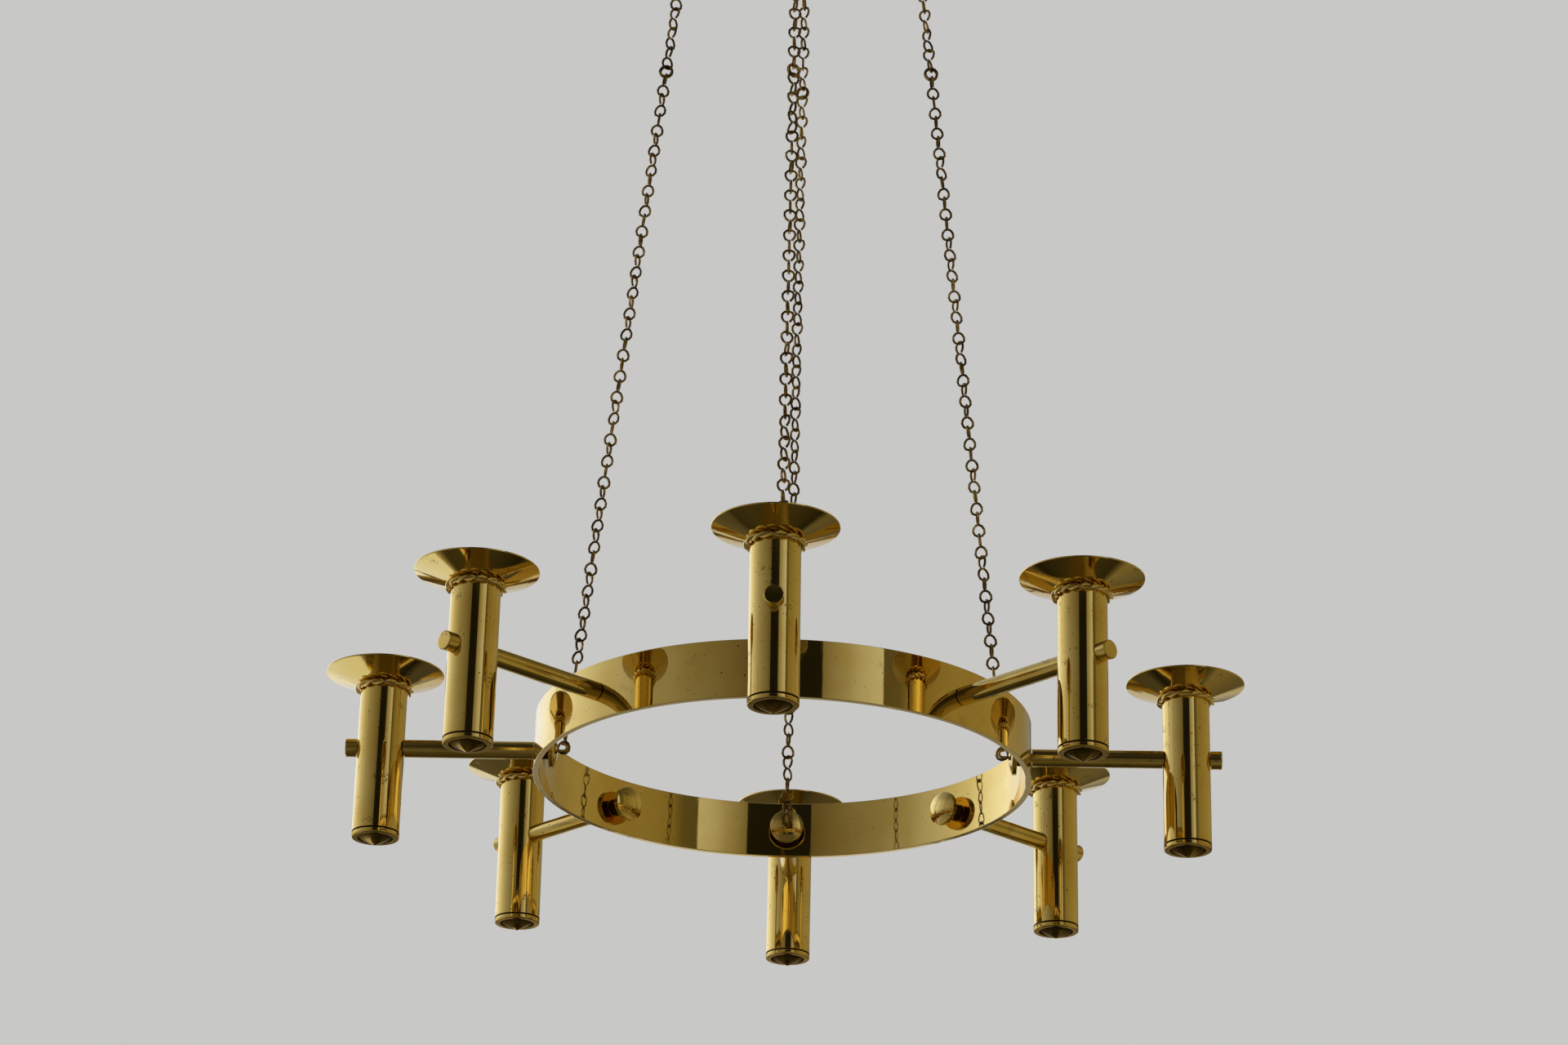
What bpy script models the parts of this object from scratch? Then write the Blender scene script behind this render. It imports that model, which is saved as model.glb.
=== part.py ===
"""Hanging candelabra: a flat brass ring that carries eight candle holders on round rods.

Four chains rise from hooks inside the ring to a wire ring, a hook and a ceiling plate.
Blender 4.5. Lengths are in metres and +Z is up. The origin is the middle of the ceiling
plate's top face, and the whole lamp hangs below it.
"""

import math

import bmesh
import bpy
from mathutils import Matrix, Vector

# Running and seating clearance between neighbouring pieces
GAP = 0.0003

# Flat bar bent into the ring band
BAND_OUTER_RADIUS = 0.131
BAND_THICKNESS = 0.003
BAND_HEIGHT = 0.0305

# Candle holders round the band
HOLDER_COUNT = 8
HOLDER_CIRCLE_RADIUS = 0.2125
FIRST_HOLDER_ANGLE = math.radians(-90)

# Candle tube, measured from the arm's axis, with its wire collar
TUBE_RADIUS = 0.0125
TUBE_WALL = 0.0009
TUBE_ABOVE_ARM = 0.0342
TUBE_BELOW_ARM = 0.047
COLLAR_WIRE_RADIUS = 0.0015
COLLAR_BELOW_RIM = 0.0015
COLLAR_BEAD_ANGLE = math.radians(60)

# Turned cap that closes the tube's lower end
CAP_GROOVE = 0.0005
CAP_SPIGOT_LENGTH = 0.0035
CAP_FLANGE_HEIGHT = 0.0025
CAP_RIM_WIDTH = 0.0028
CAP_RIM_ROUND = 0.0004
CAP_RECESS_DEPTH = 0.0006
CAP_CONE_HEIGHT = 0.0050

# Spun drip pan with its socket cup
PAN_RADIUS = 0.03125
PAN_RISE = 0.0068
PAN_SHEET = 0.0008
CUP_WALL = 0.0005
CUP_FLOOR = 0.0008
CUP_ABOVE_ARM_ROD = 0.0008
PAN_THROAT_ROUND = 0.0006

# Arm rods and their turned-down studs
ARM_RADIUS = 0.00475
STUD_RADIUS = 0.0025
STUD_INTO_NUT = 0.0042
STUD_INTO_KNOB = 0.0035

# End knobs outside the tubes
KNOB_RADIUS = 0.0049
KNOB_LENGTH = 0.0060
KNOB_CHAMFER = 0.0003

# Domed nuts inside the band
NUT_STEM_RADIUS = 0.0045
NUT_STEM_LENGTH = 0.0045
NUT_RADIUS = 0.00925
NUT_EDGE = 0.0024
NUT_DOME = 0.0021
NUT_HOOK_SOCKET = 0.0020

# Wire hooks in every second nut, curled up at their inner ends
CHAIN_COUNT = 4
CHAIN_HOOK_WIRE_RADIUS = 0.0008
CHAIN_HOOK_REACH = 0.0027
CHAIN_HOOK_CURL_RADIUS = 0.0020
CHAIN_HOOK_CURL_ANGLE = math.radians(205)

# Chains, modelled as plain round bars from hook to suspension ring
CHAIN_BAR_RADIUS = 0.0016
CHAIN_SIDE_SPREAD = math.radians(33.5)
CHAIN_INNER_SPREAD = math.radians(5)

# Suspension ring and the rise from the band to its centre
SUSPENSION_RING_RADIUS = 0.023
SUSPENSION_WIRE_RADIUS = 0.0020
SUSPENSION_RISE = 1.050

# Ceiling hook
HOOK_WIRE_RADIUS = 0.0020
HOOK_BOWL_RADIUS = 0.010
HOOK_DROP = 0.045
HOOK_NECK_ANGLE = math.radians(60)
HOOK_TIP_ANGLE = math.radians(20)
HOOK_THREAD_LENGTH = 0.008

# Ceiling plate
PLATE_RADIUS = 0.030
PLATE_THICKNESS = 0.0035
PLATE_BOSS_RADIUS = 0.0075
PLATE_BOSS_HEIGHT = 0.008
PLATE_SCREW_HOLE_RADIUS = 0.00225
PLATE_SCREW_CIRCLE_RADIUS = 0.021
PLATE_SCREW_COUNT = 2

# Facets round each kind of turned piece
BAND_STEPS = 72
TUBE_STEPS = 20
PAN_STEPS = 24
HOLE_STEPS = 10
ROD_STEPS = 12
NUT_STEPS = 14
WIRE_STEPS = 6
DOME_STEPS = 3
CURVE_STEP_ANGLE = math.radians(18)
SMOOTH_ANGLE = math.radians(35)

# Heights that the driving sizes give
HOOK_BOTTOM_Z = -HOOK_DROP
SUSPENSION_TOP_Z = HOOK_BOTTOM_Z + HOOK_WIRE_RADIUS + GAP + SUSPENSION_WIRE_RADIUS
SUSPENSION_CENTRE_Z = SUSPENSION_TOP_Z - SUSPENSION_RING_RADIUS
ARM_Z = SUSPENSION_CENTRE_Z - SUSPENSION_RISE

# Radii that the driving sizes give
BAND_INNER_RADIUS = BAND_OUTER_RADIUS - BAND_THICKNESS
TUBE_INNER_RADIUS = TUBE_RADIUS - TUBE_WALL
CUP_OUTER_RADIUS = TUBE_INNER_RADIUS - GAP
CUP_INNER_RADIUS = CUP_OUTER_RADIUS - CUP_WALL
STUD_HOLE_RADIUS = STUD_RADIUS + GAP
NUT_LENGTH = NUT_STEM_LENGTH + NUT_EDGE + NUT_DOME
NUT_TIP_RADIUS = BAND_INNER_RADIUS - GAP - NUT_LENGTH
CHAIN_CIRCLE_RADIUS = NUT_TIP_RADIUS - CHAIN_HOOK_REACH
CHAIN_HOOK_TOP = 2 * CHAIN_HOOK_CURL_RADIUS + CHAIN_HOOK_WIRE_RADIUS


def clear_scene():
    """Remove every object of the startup scene."""
    for old in list(bpy.data.objects):
        bpy.data.objects.remove(old, do_unlink=True)


def metal(name, colour, roughness):
    """A plain metal material in the piece's own colour."""
    material = bpy.data.materials.new(name)
    material.use_nodes = True
    shader = material.node_tree.nodes["Principled BSDF"]
    shader.inputs["Base Color"].default_value = (*colour, 1.0)
    shader.inputs["Roughness"].default_value = roughness
    shader.inputs["Metallic"].default_value = 1.0
    return material


def shade(mesh):
    """Smooth the rounds and keep the turned edges sharp."""
    mesh.shade_smooth()
    mesh.set_sharp_from_angle(angle=SMOOTH_ANGLE)


def mesh_from(bm, name):
    """Turn a finished bmesh into a mesh whose faces point outwards."""
    bmesh.ops.recalc_face_normals(bm, faces=bm.faces)
    mesh = bpy.data.meshes.new(name)
    bm.to_mesh(mesh)
    bm.free()
    shade(mesh)
    return mesh


def turned(name, profile, steps):
    """Spin a profile of (radius, height) points about Z into a closed solid.

    A profile that starts and ends on the axis makes a full body, and any other profile is
    closed into a ring.
    """
    bm = bmesh.new()
    points = [bm.verts.new((radius, 0, height)) for radius, height in profile]
    pairs = list(zip(points, points[1:]))
    if profile[0][0] > 0:
        pairs.append((points[-1], points[0]))
    edges = [bm.edges.new(pair) for pair in pairs]
    bmesh.ops.spin(
        bm,
        geom=points + edges,
        cent=(0, 0, 0),
        axis=(0, 0, 1),
        angle=math.tau,
        steps=steps,
        use_merge=True,
    )
    bmesh.ops.remove_doubles(bm, verts=bm.verts, dist=1e-7)
    return mesh_from(bm, name)


def lathed_along_x(name, rings, steps):
    """Skin rings of points about the X axis, and close both ends with flat caps.

    Each ring is a radius and a function that gives x from the point's offset along Y.
    """
    bm = bmesh.new()
    loops = []
    for radius, x_at in rings:
        loop = []
        for step in range(steps):
            turn = math.tau * step / steps
            side = radius * math.cos(turn)
            loop.append(bm.verts.new((x_at(side), side, radius * math.sin(turn))))
        loops.append(loop)
    for first, second in zip(loops, loops[1:]):
        for step in range(steps):
            after = (step + 1) % steps
            bm.faces.new((first[step], first[after], second[after], second[step]))
    bm.faces.new(loops[0])
    bm.faces.new(loops[-1])
    return mesh_from(bm, name)


def arc(centre, radius, start, end):
    """Points (across, up) on an arc about a centre, both ends included."""
    count = max(2, math.ceil(abs(end - start) / CURVE_STEP_ANGLE))
    turns = [start + (end - start) * step / count for step in range(count + 1)]
    return [
        (centre[0] + radius * math.cos(turn), centre[1] + radius * math.sin(turn))
        for turn in turns
    ]


def bent_wire(name, points, radius, bevel_resolution):
    """Round wire along a list of points, with closed ends."""
    curve = bpy.data.curves.new(name, "CURVE")
    curve.dimensions = "3D"
    curve.bevel_depth = radius
    curve.bevel_resolution = bevel_resolution
    curve.use_fill_caps = True
    spline = curve.splines.new("POLY")
    spline.points.add(len(points) - 1)
    for spline_point, place in zip(spline.points, points):
        spline_point.co = (*place, 1.0)
    return curve


def carved(mesh, cutters):
    """Cut the cutter meshes out of a mesh and return the result."""
    body = bpy.data.objects.new("blank", mesh)
    bpy.context.collection.objects.link(body)
    helpers = []
    for cutter in cutters:
        helper = bpy.data.objects.new("drill", cutter)
        helper.hide_render = True
        helper.display_type = "WIRE"
        bpy.context.collection.objects.link(helper)
        cut = body.modifiers.new("hole", "BOOLEAN")
        cut.operation = "DIFFERENCE"
        cut.object = helper
        helpers.append(helper)
    graph = bpy.context.evaluated_depsgraph_get()
    result = bpy.data.meshes.new_from_object(body.evaluated_get(graph))
    result.name = mesh.name
    for temporary in helpers + [body]:
        bpy.data.objects.remove(temporary, do_unlink=True)
    shade(result)
    return result


def drill(radius, start, end):
    """A cylinder mesh between two points, for cutting a hole."""
    direction = Vector(end) - Vector(start)
    bm = bmesh.new()
    bmesh.ops.create_cone(
        bm,
        cap_ends=True,
        segments=HOLE_STEPS,
        radius1=radius,
        radius2=radius,
        depth=direction.length,
    )
    turn = direction.to_track_quat("Z", "Y").to_matrix().to_4x4()
    middle = Matrix.Translation((Vector(start) + Vector(end)) / 2)
    bmesh.ops.transform(bm, matrix=middle @ turn, verts=bm.verts)
    return mesh_from(bm, "drill")


def add_piece(name, data, material, parent=None, matrix=None):
    """Put one named piece in the scene, under its parent empty if it has one."""
    piece = bpy.data.objects.new(name, data)
    if not data.materials:
        data.materials.append(material)
    bpy.context.collection.objects.link(piece)
    piece.parent = parent
    if matrix is not None:
        piece.matrix_local = matrix
    return piece


def add_empty(name, matrix, parent=None):
    """Put an empty on a joint's axis or at a holder's place."""
    empty = bpy.data.objects.new(name, None)
    empty.empty_display_size = 0.02
    bpy.context.collection.objects.link(empty)
    empty.parent = parent
    empty.matrix_local = matrix
    return empty


def holder_angle(index):
    """Direction of one holder about the band's axis."""
    return FIRST_HOLDER_ANGLE + math.tau * index / HOLDER_COUNT


def spoke(index):
    """Frame of one holder's arm: X points out along the rod, with the band's centre at zero."""
    return Matrix.Rotation(holder_angle(index), 4, "Z")


def band_mesh():
    """Flat bar bent round, drilled for the arms' studs."""
    half = BAND_HEIGHT / 2
    bar = turned(
        "ring_band",
        [
            (BAND_INNER_RADIUS, -half),
            (BAND_OUTER_RADIUS, -half),
            (BAND_OUTER_RADIUS, half),
            (BAND_INNER_RADIUS, half),
        ],
        BAND_STEPS,
    )
    inside = BAND_INNER_RADIUS - BAND_THICKNESS
    outside = BAND_OUTER_RADIUS + BAND_THICKNESS
    holes = []
    for index in range(HOLDER_COUNT):
        direction = spoke(index) @ Vector((1, 0, 0))
        holes.append(drill(STUD_HOLE_RADIUS, direction * inside, direction * outside))
    return carved(bar, holes)


def saddle(side_sign):
    """x on the face that is hollowed to fit the tube, at an offset along Y."""

    def x_at(side):
        reach = math.sqrt((TUBE_RADIUS + GAP) ** 2 - side**2)
        return HOLDER_CIRCLE_RADIUS + side_sign * reach

    return x_at


def flat(x):
    """x on a face that is square to the rod."""
    return lambda side: x


def arm_mesh():
    """Rod from the band to the tube, with a stud through each of them."""
    shoulder = BAND_OUTER_RADIUS + GAP
    inner_tip = BAND_INNER_RADIUS - STUD_INTO_NUT
    outer_tip = HOLDER_CIRCLE_RADIUS + TUBE_RADIUS + STUD_INTO_KNOB
    rings = [
        (STUD_RADIUS, flat(inner_tip)),
        (STUD_RADIUS, flat(shoulder)),
        (ARM_RADIUS, flat(shoulder)),
        (ARM_RADIUS, saddle(-1)),
        (STUD_RADIUS, saddle(-1)),
        (STUD_RADIUS, flat(outer_tip)),
    ]
    return lathed_along_x("arm", rings, ROD_STEPS)


def knob_mesh():
    """Plain round knob screwed on the stud's outer end."""
    tube_face = HOLDER_CIRCLE_RADIUS + TUBE_RADIUS
    face = tube_face + KNOB_LENGTH
    bore_end = tube_face + STUD_INTO_KNOB + GAP
    rings = [
        (STUD_HOLE_RADIUS, flat(bore_end)),
        (STUD_HOLE_RADIUS, saddle(1)),
        (KNOB_RADIUS, saddle(1)),
        (KNOB_RADIUS, flat(face - KNOB_CHAMFER)),
        (KNOB_RADIUS - KNOB_CHAMFER, flat(face)),
    ]
    return lathed_along_x("end_knob", rings, ROD_STEPS)


def nut_mesh(with_hook_socket):
    """Domed nut on a short stem, Z pointing from the band towards its centre."""
    disc_front = NUT_STEM_LENGTH + NUT_EDGE
    profile = [
        (0, STUD_INTO_NUT),
        (STUD_HOLE_RADIUS, STUD_INTO_NUT),
        (STUD_HOLE_RADIUS, 0),
        (NUT_STEM_RADIUS, 0),
        (NUT_STEM_RADIUS, NUT_STEM_LENGTH),
        (NUT_RADIUS, NUT_STEM_LENGTH),
    ]
    for step in range(DOME_STEPS):
        share = 1 - step / DOME_STEPS
        profile.append((NUT_RADIUS * share, disc_front + NUT_DOME * (1 - share**2)))
    if with_hook_socket:
        socket = CHAIN_HOOK_WIRE_RADIUS + GAP
        profile += [(socket, NUT_LENGTH), (socket, NUT_LENGTH - NUT_HOOK_SOCKET)]
        profile += [(0, NUT_LENGTH - NUT_HOOK_SOCKET)]
    else:
        profile += [(0, NUT_LENGTH)]
    return turned("dome_nut", profile, NUT_STEPS)


def tube_mesh():
    """Candle tube with its wire collar brazed on below the rim, crossed by the stud's holes."""
    collar_radius = TUBE_RADIUS + COLLAR_WIRE_RADIUS
    collar_z = TUBE_ABOVE_ARM - COLLAR_BELOW_RIM
    foot = COLLAR_WIRE_RADIUS * math.sin(COLLAR_BEAD_ANGLE)
    centre = (collar_radius, collar_z)
    bead = arc(centre, COLLAR_WIRE_RADIUS, -COLLAR_BEAD_ANGLE, COLLAR_BEAD_ANGLE)
    profile = [
        (TUBE_INNER_RADIUS, -TUBE_BELOW_ARM),
        (TUBE_RADIUS, -TUBE_BELOW_ARM),
        (TUBE_RADIUS, collar_z - foot),
        *bead,
        (TUBE_RADIUS, collar_z + foot),
        (TUBE_RADIUS, TUBE_ABOVE_ARM),
        (TUBE_INNER_RADIUS, TUBE_ABOVE_ARM),
    ]
    tube = turned("candle_tube", profile, TUBE_STEPS)
    reach = 2 * TUBE_RADIUS
    return carved(tube, [drill(STUD_HOLE_RADIUS, (-reach, 0, 0), (reach, 0, 0))])


def cap_mesh():
    """Turned cap: spigot inside the tube, flange, flat rim and a shallow cone."""
    top = -TUBE_BELOW_ARM + CAP_SPIGOT_LENGTH
    flange_top = -TUBE_BELOW_ARM - CAP_GROOVE
    rim = flange_top - CAP_FLANGE_HEIGHT
    spigot = TUBE_INNER_RADIUS - GAP
    cone = TUBE_RADIUS - CAP_RIM_WIDTH
    profile = [
        (0, top),
        (spigot, top),
        (spigot, flange_top),
        (TUBE_RADIUS, flange_top),
        (TUBE_RADIUS, rim + CAP_RIM_ROUND),
        (TUBE_RADIUS - CAP_RIM_ROUND, rim),
        (cone, rim),
        (cone, rim + CAP_RECESS_DEPTH),
        (0, rim + CAP_RECESS_DEPTH - CAP_CONE_HEIGHT),
    ]
    return turned("base_cap", profile, TUBE_STEPS)


def cup_bottom_z():
    """Underside of the socket cup, clear of the arm's rod."""
    return ARM_RADIUS + CUP_ABOVE_ARM_ROD


def pan_mesh():
    """Spun dish with the socket cup that drops into the tube."""
    neck = TUBE_ABOVE_ARM + GAP
    rim = neck + PAN_RISE
    slope = math.atan2(PAN_RISE, PAN_RADIUS - TUBE_RADIUS)
    upright = PAN_SHEET / math.cos(slope)
    bottom = cup_bottom_z()
    floor = bottom + CUP_FLOOR
    throat = neck + upright
    profile = [
        (0, floor),
        (CUP_INNER_RADIUS, floor),
        (CUP_INNER_RADIUS, throat - PAN_THROAT_ROUND),
        (CUP_INNER_RADIUS + PAN_THROAT_ROUND, throat),
        (TUBE_RADIUS, throat),
        (PAN_RADIUS, rim + upright),
        (PAN_RADIUS, rim),
        (TUBE_RADIUS, neck),
        (CUP_OUTER_RADIUS, neck),
        (CUP_OUTER_RADIUS, bottom),
        (0, bottom),
    ]
    return turned("drip_pan", profile, PAN_STEPS)


def chain_hook_curve():
    """Wire hook: a straight shank along X, curled up and back at its inner end."""
    shank_end = CHAIN_CIRCLE_RADIUS
    shank_start = NUT_TIP_RADIUS + NUT_HOOK_SOCKET - GAP
    centre = (shank_end, CHAIN_HOOK_CURL_RADIUS)
    bottom = math.radians(-90)
    curl = arc(centre, CHAIN_HOOK_CURL_RADIUS, bottom, bottom - CHAIN_HOOK_CURL_ANGLE)
    points = [(shank_start, 0, 0)] + [(x, 0, z) for x, z in curl]
    return bent_wire("chain_hook", points, CHAIN_HOOK_WIRE_RADIUS, 1)


def suspension_ring_mesh():
    """Closed wire ring that gathers the four chains."""
    profile = []
    for step in range(WIRE_STEPS):
        turn = math.tau * step / WIRE_STEPS
        across = SUSPENSION_WIRE_RADIUS * math.cos(turn)
        up = SUSPENSION_WIRE_RADIUS * math.sin(turn)
        profile.append((SUSPENSION_RING_RADIUS + across, up))
    return turned("suspension_ring", profile, PAN_STEPS)


def ceiling_hook_curve():
    """Hook of round wire: a threaded shank, a neck and an open bowl."""
    bowl_z = HOOK_BOTTOM_Z + HOOK_BOWL_RADIUS
    bowl_start = math.pi - HOOK_NECK_ANGLE
    neck_x = HOOK_BOWL_RADIUS * math.cos(bowl_start)
    neck_z = bowl_z + HOOK_BOWL_RADIUS * math.sin(bowl_start)
    neck_radius = -neck_x / (1 - math.cos(HOOK_NECK_ANGLE))
    neck_centre = (-neck_radius, neck_z + neck_radius * math.sin(HOOK_NECK_ANGLE))
    neck = arc(neck_centre, neck_radius, 0, -HOOK_NECK_ANGLE)
    bowl = arc((0, bowl_z), HOOK_BOWL_RADIUS, bowl_start, math.tau + HOOK_TIP_ANGLE)
    shank_top = hook_socket_end() - GAP
    points = [(0, 0, shank_top)] + [(0, y, z) for y, z in neck + bowl[1:]]
    return bent_wire("ceiling_hook", points, HOOK_WIRE_RADIUS, 2)


def hook_socket_end():
    """Upper end of the blind hole that the ceiling hook screws into."""
    return -PLATE_THICKNESS - PLATE_BOSS_HEIGHT + HOOK_THREAD_LENGTH


def plate_mesh():
    """Round ceiling plate with a boss for the hook and two screw holes."""
    boss_bottom = -PLATE_THICKNESS - PLATE_BOSS_HEIGHT
    socket = HOOK_WIRE_RADIUS + GAP
    profile = [
        (0, 0),
        (PLATE_RADIUS, 0),
        (PLATE_RADIUS, -PLATE_THICKNESS),
        (PLATE_BOSS_RADIUS, -PLATE_THICKNESS),
        (PLATE_BOSS_RADIUS, boss_bottom),
        (socket, boss_bottom),
        (socket, hook_socket_end()),
        (0, hook_socket_end()),
    ]
    plate = turned("ceiling_plate", profile, TUBE_STEPS)
    holes = []
    for index in range(PLATE_SCREW_COUNT):
        turn = math.tau * index / PLATE_SCREW_COUNT
        x = PLATE_SCREW_CIRCLE_RADIUS * math.cos(turn)
        y = PLATE_SCREW_CIRCLE_RADIUS * math.sin(turn)
        above = (x, y, PLATE_THICKNESS)
        below = (x, y, -2 * PLATE_THICKNESS)
        holes.append(drill(PLATE_SCREW_HOLE_RADIUS, above, below))
    return carved(plate, holes)


def build_ceiling_fitting(materials):
    """Ceiling plate, hook and suspension ring."""
    add_piece("ceiling_plate", plate_mesh(), materials["fitting"])
    add_piece("ceiling_hook", ceiling_hook_curve(), materials["fitting"])
    swing = add_empty("hook_swing_axis", Matrix.Translation((0, 0, HOOK_BOTTOM_Z)))
    ring_place = Matrix.Translation((0, 0, SUSPENSION_CENTRE_Z - HOOK_BOTTOM_Z))
    upright = Matrix.Rotation(math.radians(90), 4, "X")
    add_piece(
        "suspension_ring", suspension_ring_mesh(), materials["fitting"], swing, ring_place @ upright
    )


def chain_top(spread):
    """Centre of the suspension ring's wire at an angle from its lowest point."""
    x = SUSPENSION_RING_RADIUS * math.sin(spread)
    z = SUSPENSION_CENTRE_Z - SUSPENSION_RING_RADIUS * math.cos(spread)
    return Vector((x, 0, z))


def build_chain(name, index, spread, material):
    """One chain, as a bar from just above its hook to just below the suspension ring."""
    turn = spoke(index)
    start = turn @ Vector((CHAIN_CIRCLE_RADIUS, 0, 0))
    start.z = ARM_Z + CHAIN_HOOK_TOP + GAP
    wire_centre = chain_top(spread)
    direction = (wire_centre - start).normalized()
    wire_direction = Vector((math.cos(spread), 0, math.sin(spread)))
    along = abs(direction.dot(wire_direction))
    across = math.sqrt(1 - along**2)
    stand_off = (SUSPENSION_WIRE_RADIUS + GAP + CHAIN_BAR_RADIUS * along) / across
    lean = math.hypot(direction.x, direction.y)
    start.z += CHAIN_BAR_RADIUS * lean
    end = wire_centre - direction * stand_off
    length = (end - start).length
    bar = turned(
        name,
        [(0, 0), (CHAIN_BAR_RADIUS, 0), (CHAIN_BAR_RADIUS, length), (0, length)],
        WIRE_STEPS,
    )
    place = Matrix.Translation(start) @ direction.to_track_quat("Z", "Y").to_matrix().to_4x4()
    add_piece(name, bar, material, None, place)


def build_chains(materials):
    """Four chains from the hooks at the front, right, back and left."""
    spacing = HOLDER_COUNT // CHAIN_COUNT
    chains = [
        ("chain_front", -CHAIN_INNER_SPREAD),
        ("chain_right", CHAIN_SIDE_SPREAD),
        ("chain_back", CHAIN_INNER_SPREAD),
        ("chain_left", -CHAIN_SIDE_SPREAD),
    ]
    for order, (name, spread) in enumerate(chains):
        build_chain(name, order * spacing, spread, materials["chain"])


def build_frame(materials):
    """Band, arms, domed nuts with their hooks, and end knobs."""
    centre = Matrix.Translation((0, 0, ARM_Z))
    add_piece("ring_band", band_mesh(), materials["band"], None, centre)
    arm = arm_mesh()
    knob = knob_mesh()
    plain_nut = nut_mesh(False)
    hook_nut = nut_mesh(True)
    hook = chain_hook_curve()
    spacing = HOLDER_COUNT // CHAIN_COUNT
    sides = ("front", "right", "back", "left")
    inwards = Matrix.Translation((BAND_INNER_RADIUS - GAP, 0, 0))
    inwards @= Matrix.Rotation(math.radians(-90), 4, "Y")
    for index in range(HOLDER_COUNT):
        place = centre @ spoke(index)
        number = index + 1
        has_hook = index % spacing == 0 and index // spacing < CHAIN_COUNT
        nut = hook_nut if has_hook else plain_nut
        add_piece(f"arm_{number}", arm, materials["arm"], None, place)
        add_piece(f"end_knob_{number}", knob, materials["knob"], None, place)
        add_piece(f"dome_nut_{number}", nut, materials["nut"], None, place @ inwards)
        if has_hook:
            side = sides[index // spacing]
            add_piece(f"chain_hook_{side}", hook, materials["hook"], None, place)


def build_holders(materials):
    """Tube, base cap and drip pan of each holder, on its swivel axis."""
    tube = tube_mesh()
    cap = cap_mesh()
    pan = pan_mesh()
    centre = Matrix.Translation((0, 0, ARM_Z))
    out = Matrix.Translation((HOLDER_CIRCLE_RADIUS, 0, 0))
    for index in range(HOLDER_COUNT):
        number = index + 1
        axis = add_empty(f"holder_axis_{number}", centre @ spoke(index) @ out)
        add_piece(f"candle_tube_{number}", tube, materials["tube"], axis)
        add_piece(f"base_cap_{number}", cap, materials["cap"], axis)
        add_piece(f"drip_pan_{number}", pan, materials["pan"], axis)


def main():
    """Build the whole candelabra."""
    clear_scene()
    brass = (0.83, 0.66, 0.32)
    materials = {
        "band": metal("band_brass", brass, 0.10),
        "arm": metal("arm_brass", (0.79, 0.61, 0.28), 0.14),
        "tube": metal("tube_brass", (0.81, 0.64, 0.30), 0.12),
        "cap": metal("cap_brass", (0.78, 0.62, 0.31), 0.16),
        "pan": metal("pan_brass", (0.80, 0.62, 0.28), 0.13),
        "knob": metal("knob_brass", (0.80, 0.63, 0.30), 0.15),
        "nut": metal("nut_brass", (0.82, 0.66, 0.33), 0.12),
        "hook": metal("hook_brass", (0.84, 0.70, 0.40), 0.20),
        "chain": metal("chain_bronze", (0.26, 0.18, 0.10), 0.38),
        "fitting": metal("fitting_brass", (0.74, 0.57, 0.27), 0.22),
    }
    build_ceiling_fitting(materials)
    build_chains(materials)
    build_frame(materials)
    build_holders(materials)


main()
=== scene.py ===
"""Looks of the hanging candelabra: old polished brass, dark link chains and a plain pale studio.

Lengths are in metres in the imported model's frame. +Z is up, the origin is the middle of the
ceiling plate's top face, and the front holder stands towards -Y.
"""

import logging
import math
from collections.abc import Callable, Sequence
from dataclasses import dataclass, field
from enum import Enum

import bmesh
import bpy
from mathutils import Matrix, Vector


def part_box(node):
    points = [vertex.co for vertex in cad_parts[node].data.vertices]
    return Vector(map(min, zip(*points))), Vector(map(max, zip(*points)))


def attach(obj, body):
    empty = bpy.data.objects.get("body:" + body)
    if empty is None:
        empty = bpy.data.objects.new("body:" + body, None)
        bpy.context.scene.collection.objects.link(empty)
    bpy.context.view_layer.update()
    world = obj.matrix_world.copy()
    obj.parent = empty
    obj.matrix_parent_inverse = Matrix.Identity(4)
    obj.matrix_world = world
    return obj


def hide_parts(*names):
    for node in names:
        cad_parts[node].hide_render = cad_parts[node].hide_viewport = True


LOG = logging.getLogger("candelabra")

Colour = tuple[float, float, float]
Point = tuple[float, float]
Spots = tuple[float, float, float]
Mesh = bpy.types.Mesh
Socket = bpy.types.NodeSocket

UV_NAME = "wrap"
GRIME_AND_SHADE_NAME = "grime"
GLOW_NAME = "glow"
GAP = 0.0003
SHARP_ANGLE = math.radians(42)
ROUND_ROOM = 0.42
GUARD_SHARE = 0.1
ON_AXIS = 1e-7
NUT_SPIN = 1.3
HOLDER_SPIN = 0.9
HOLDER_LEANS = {0: math.radians(0.5), 3: math.radians(-0.4), 5: math.radians(-0.4)}

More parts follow.
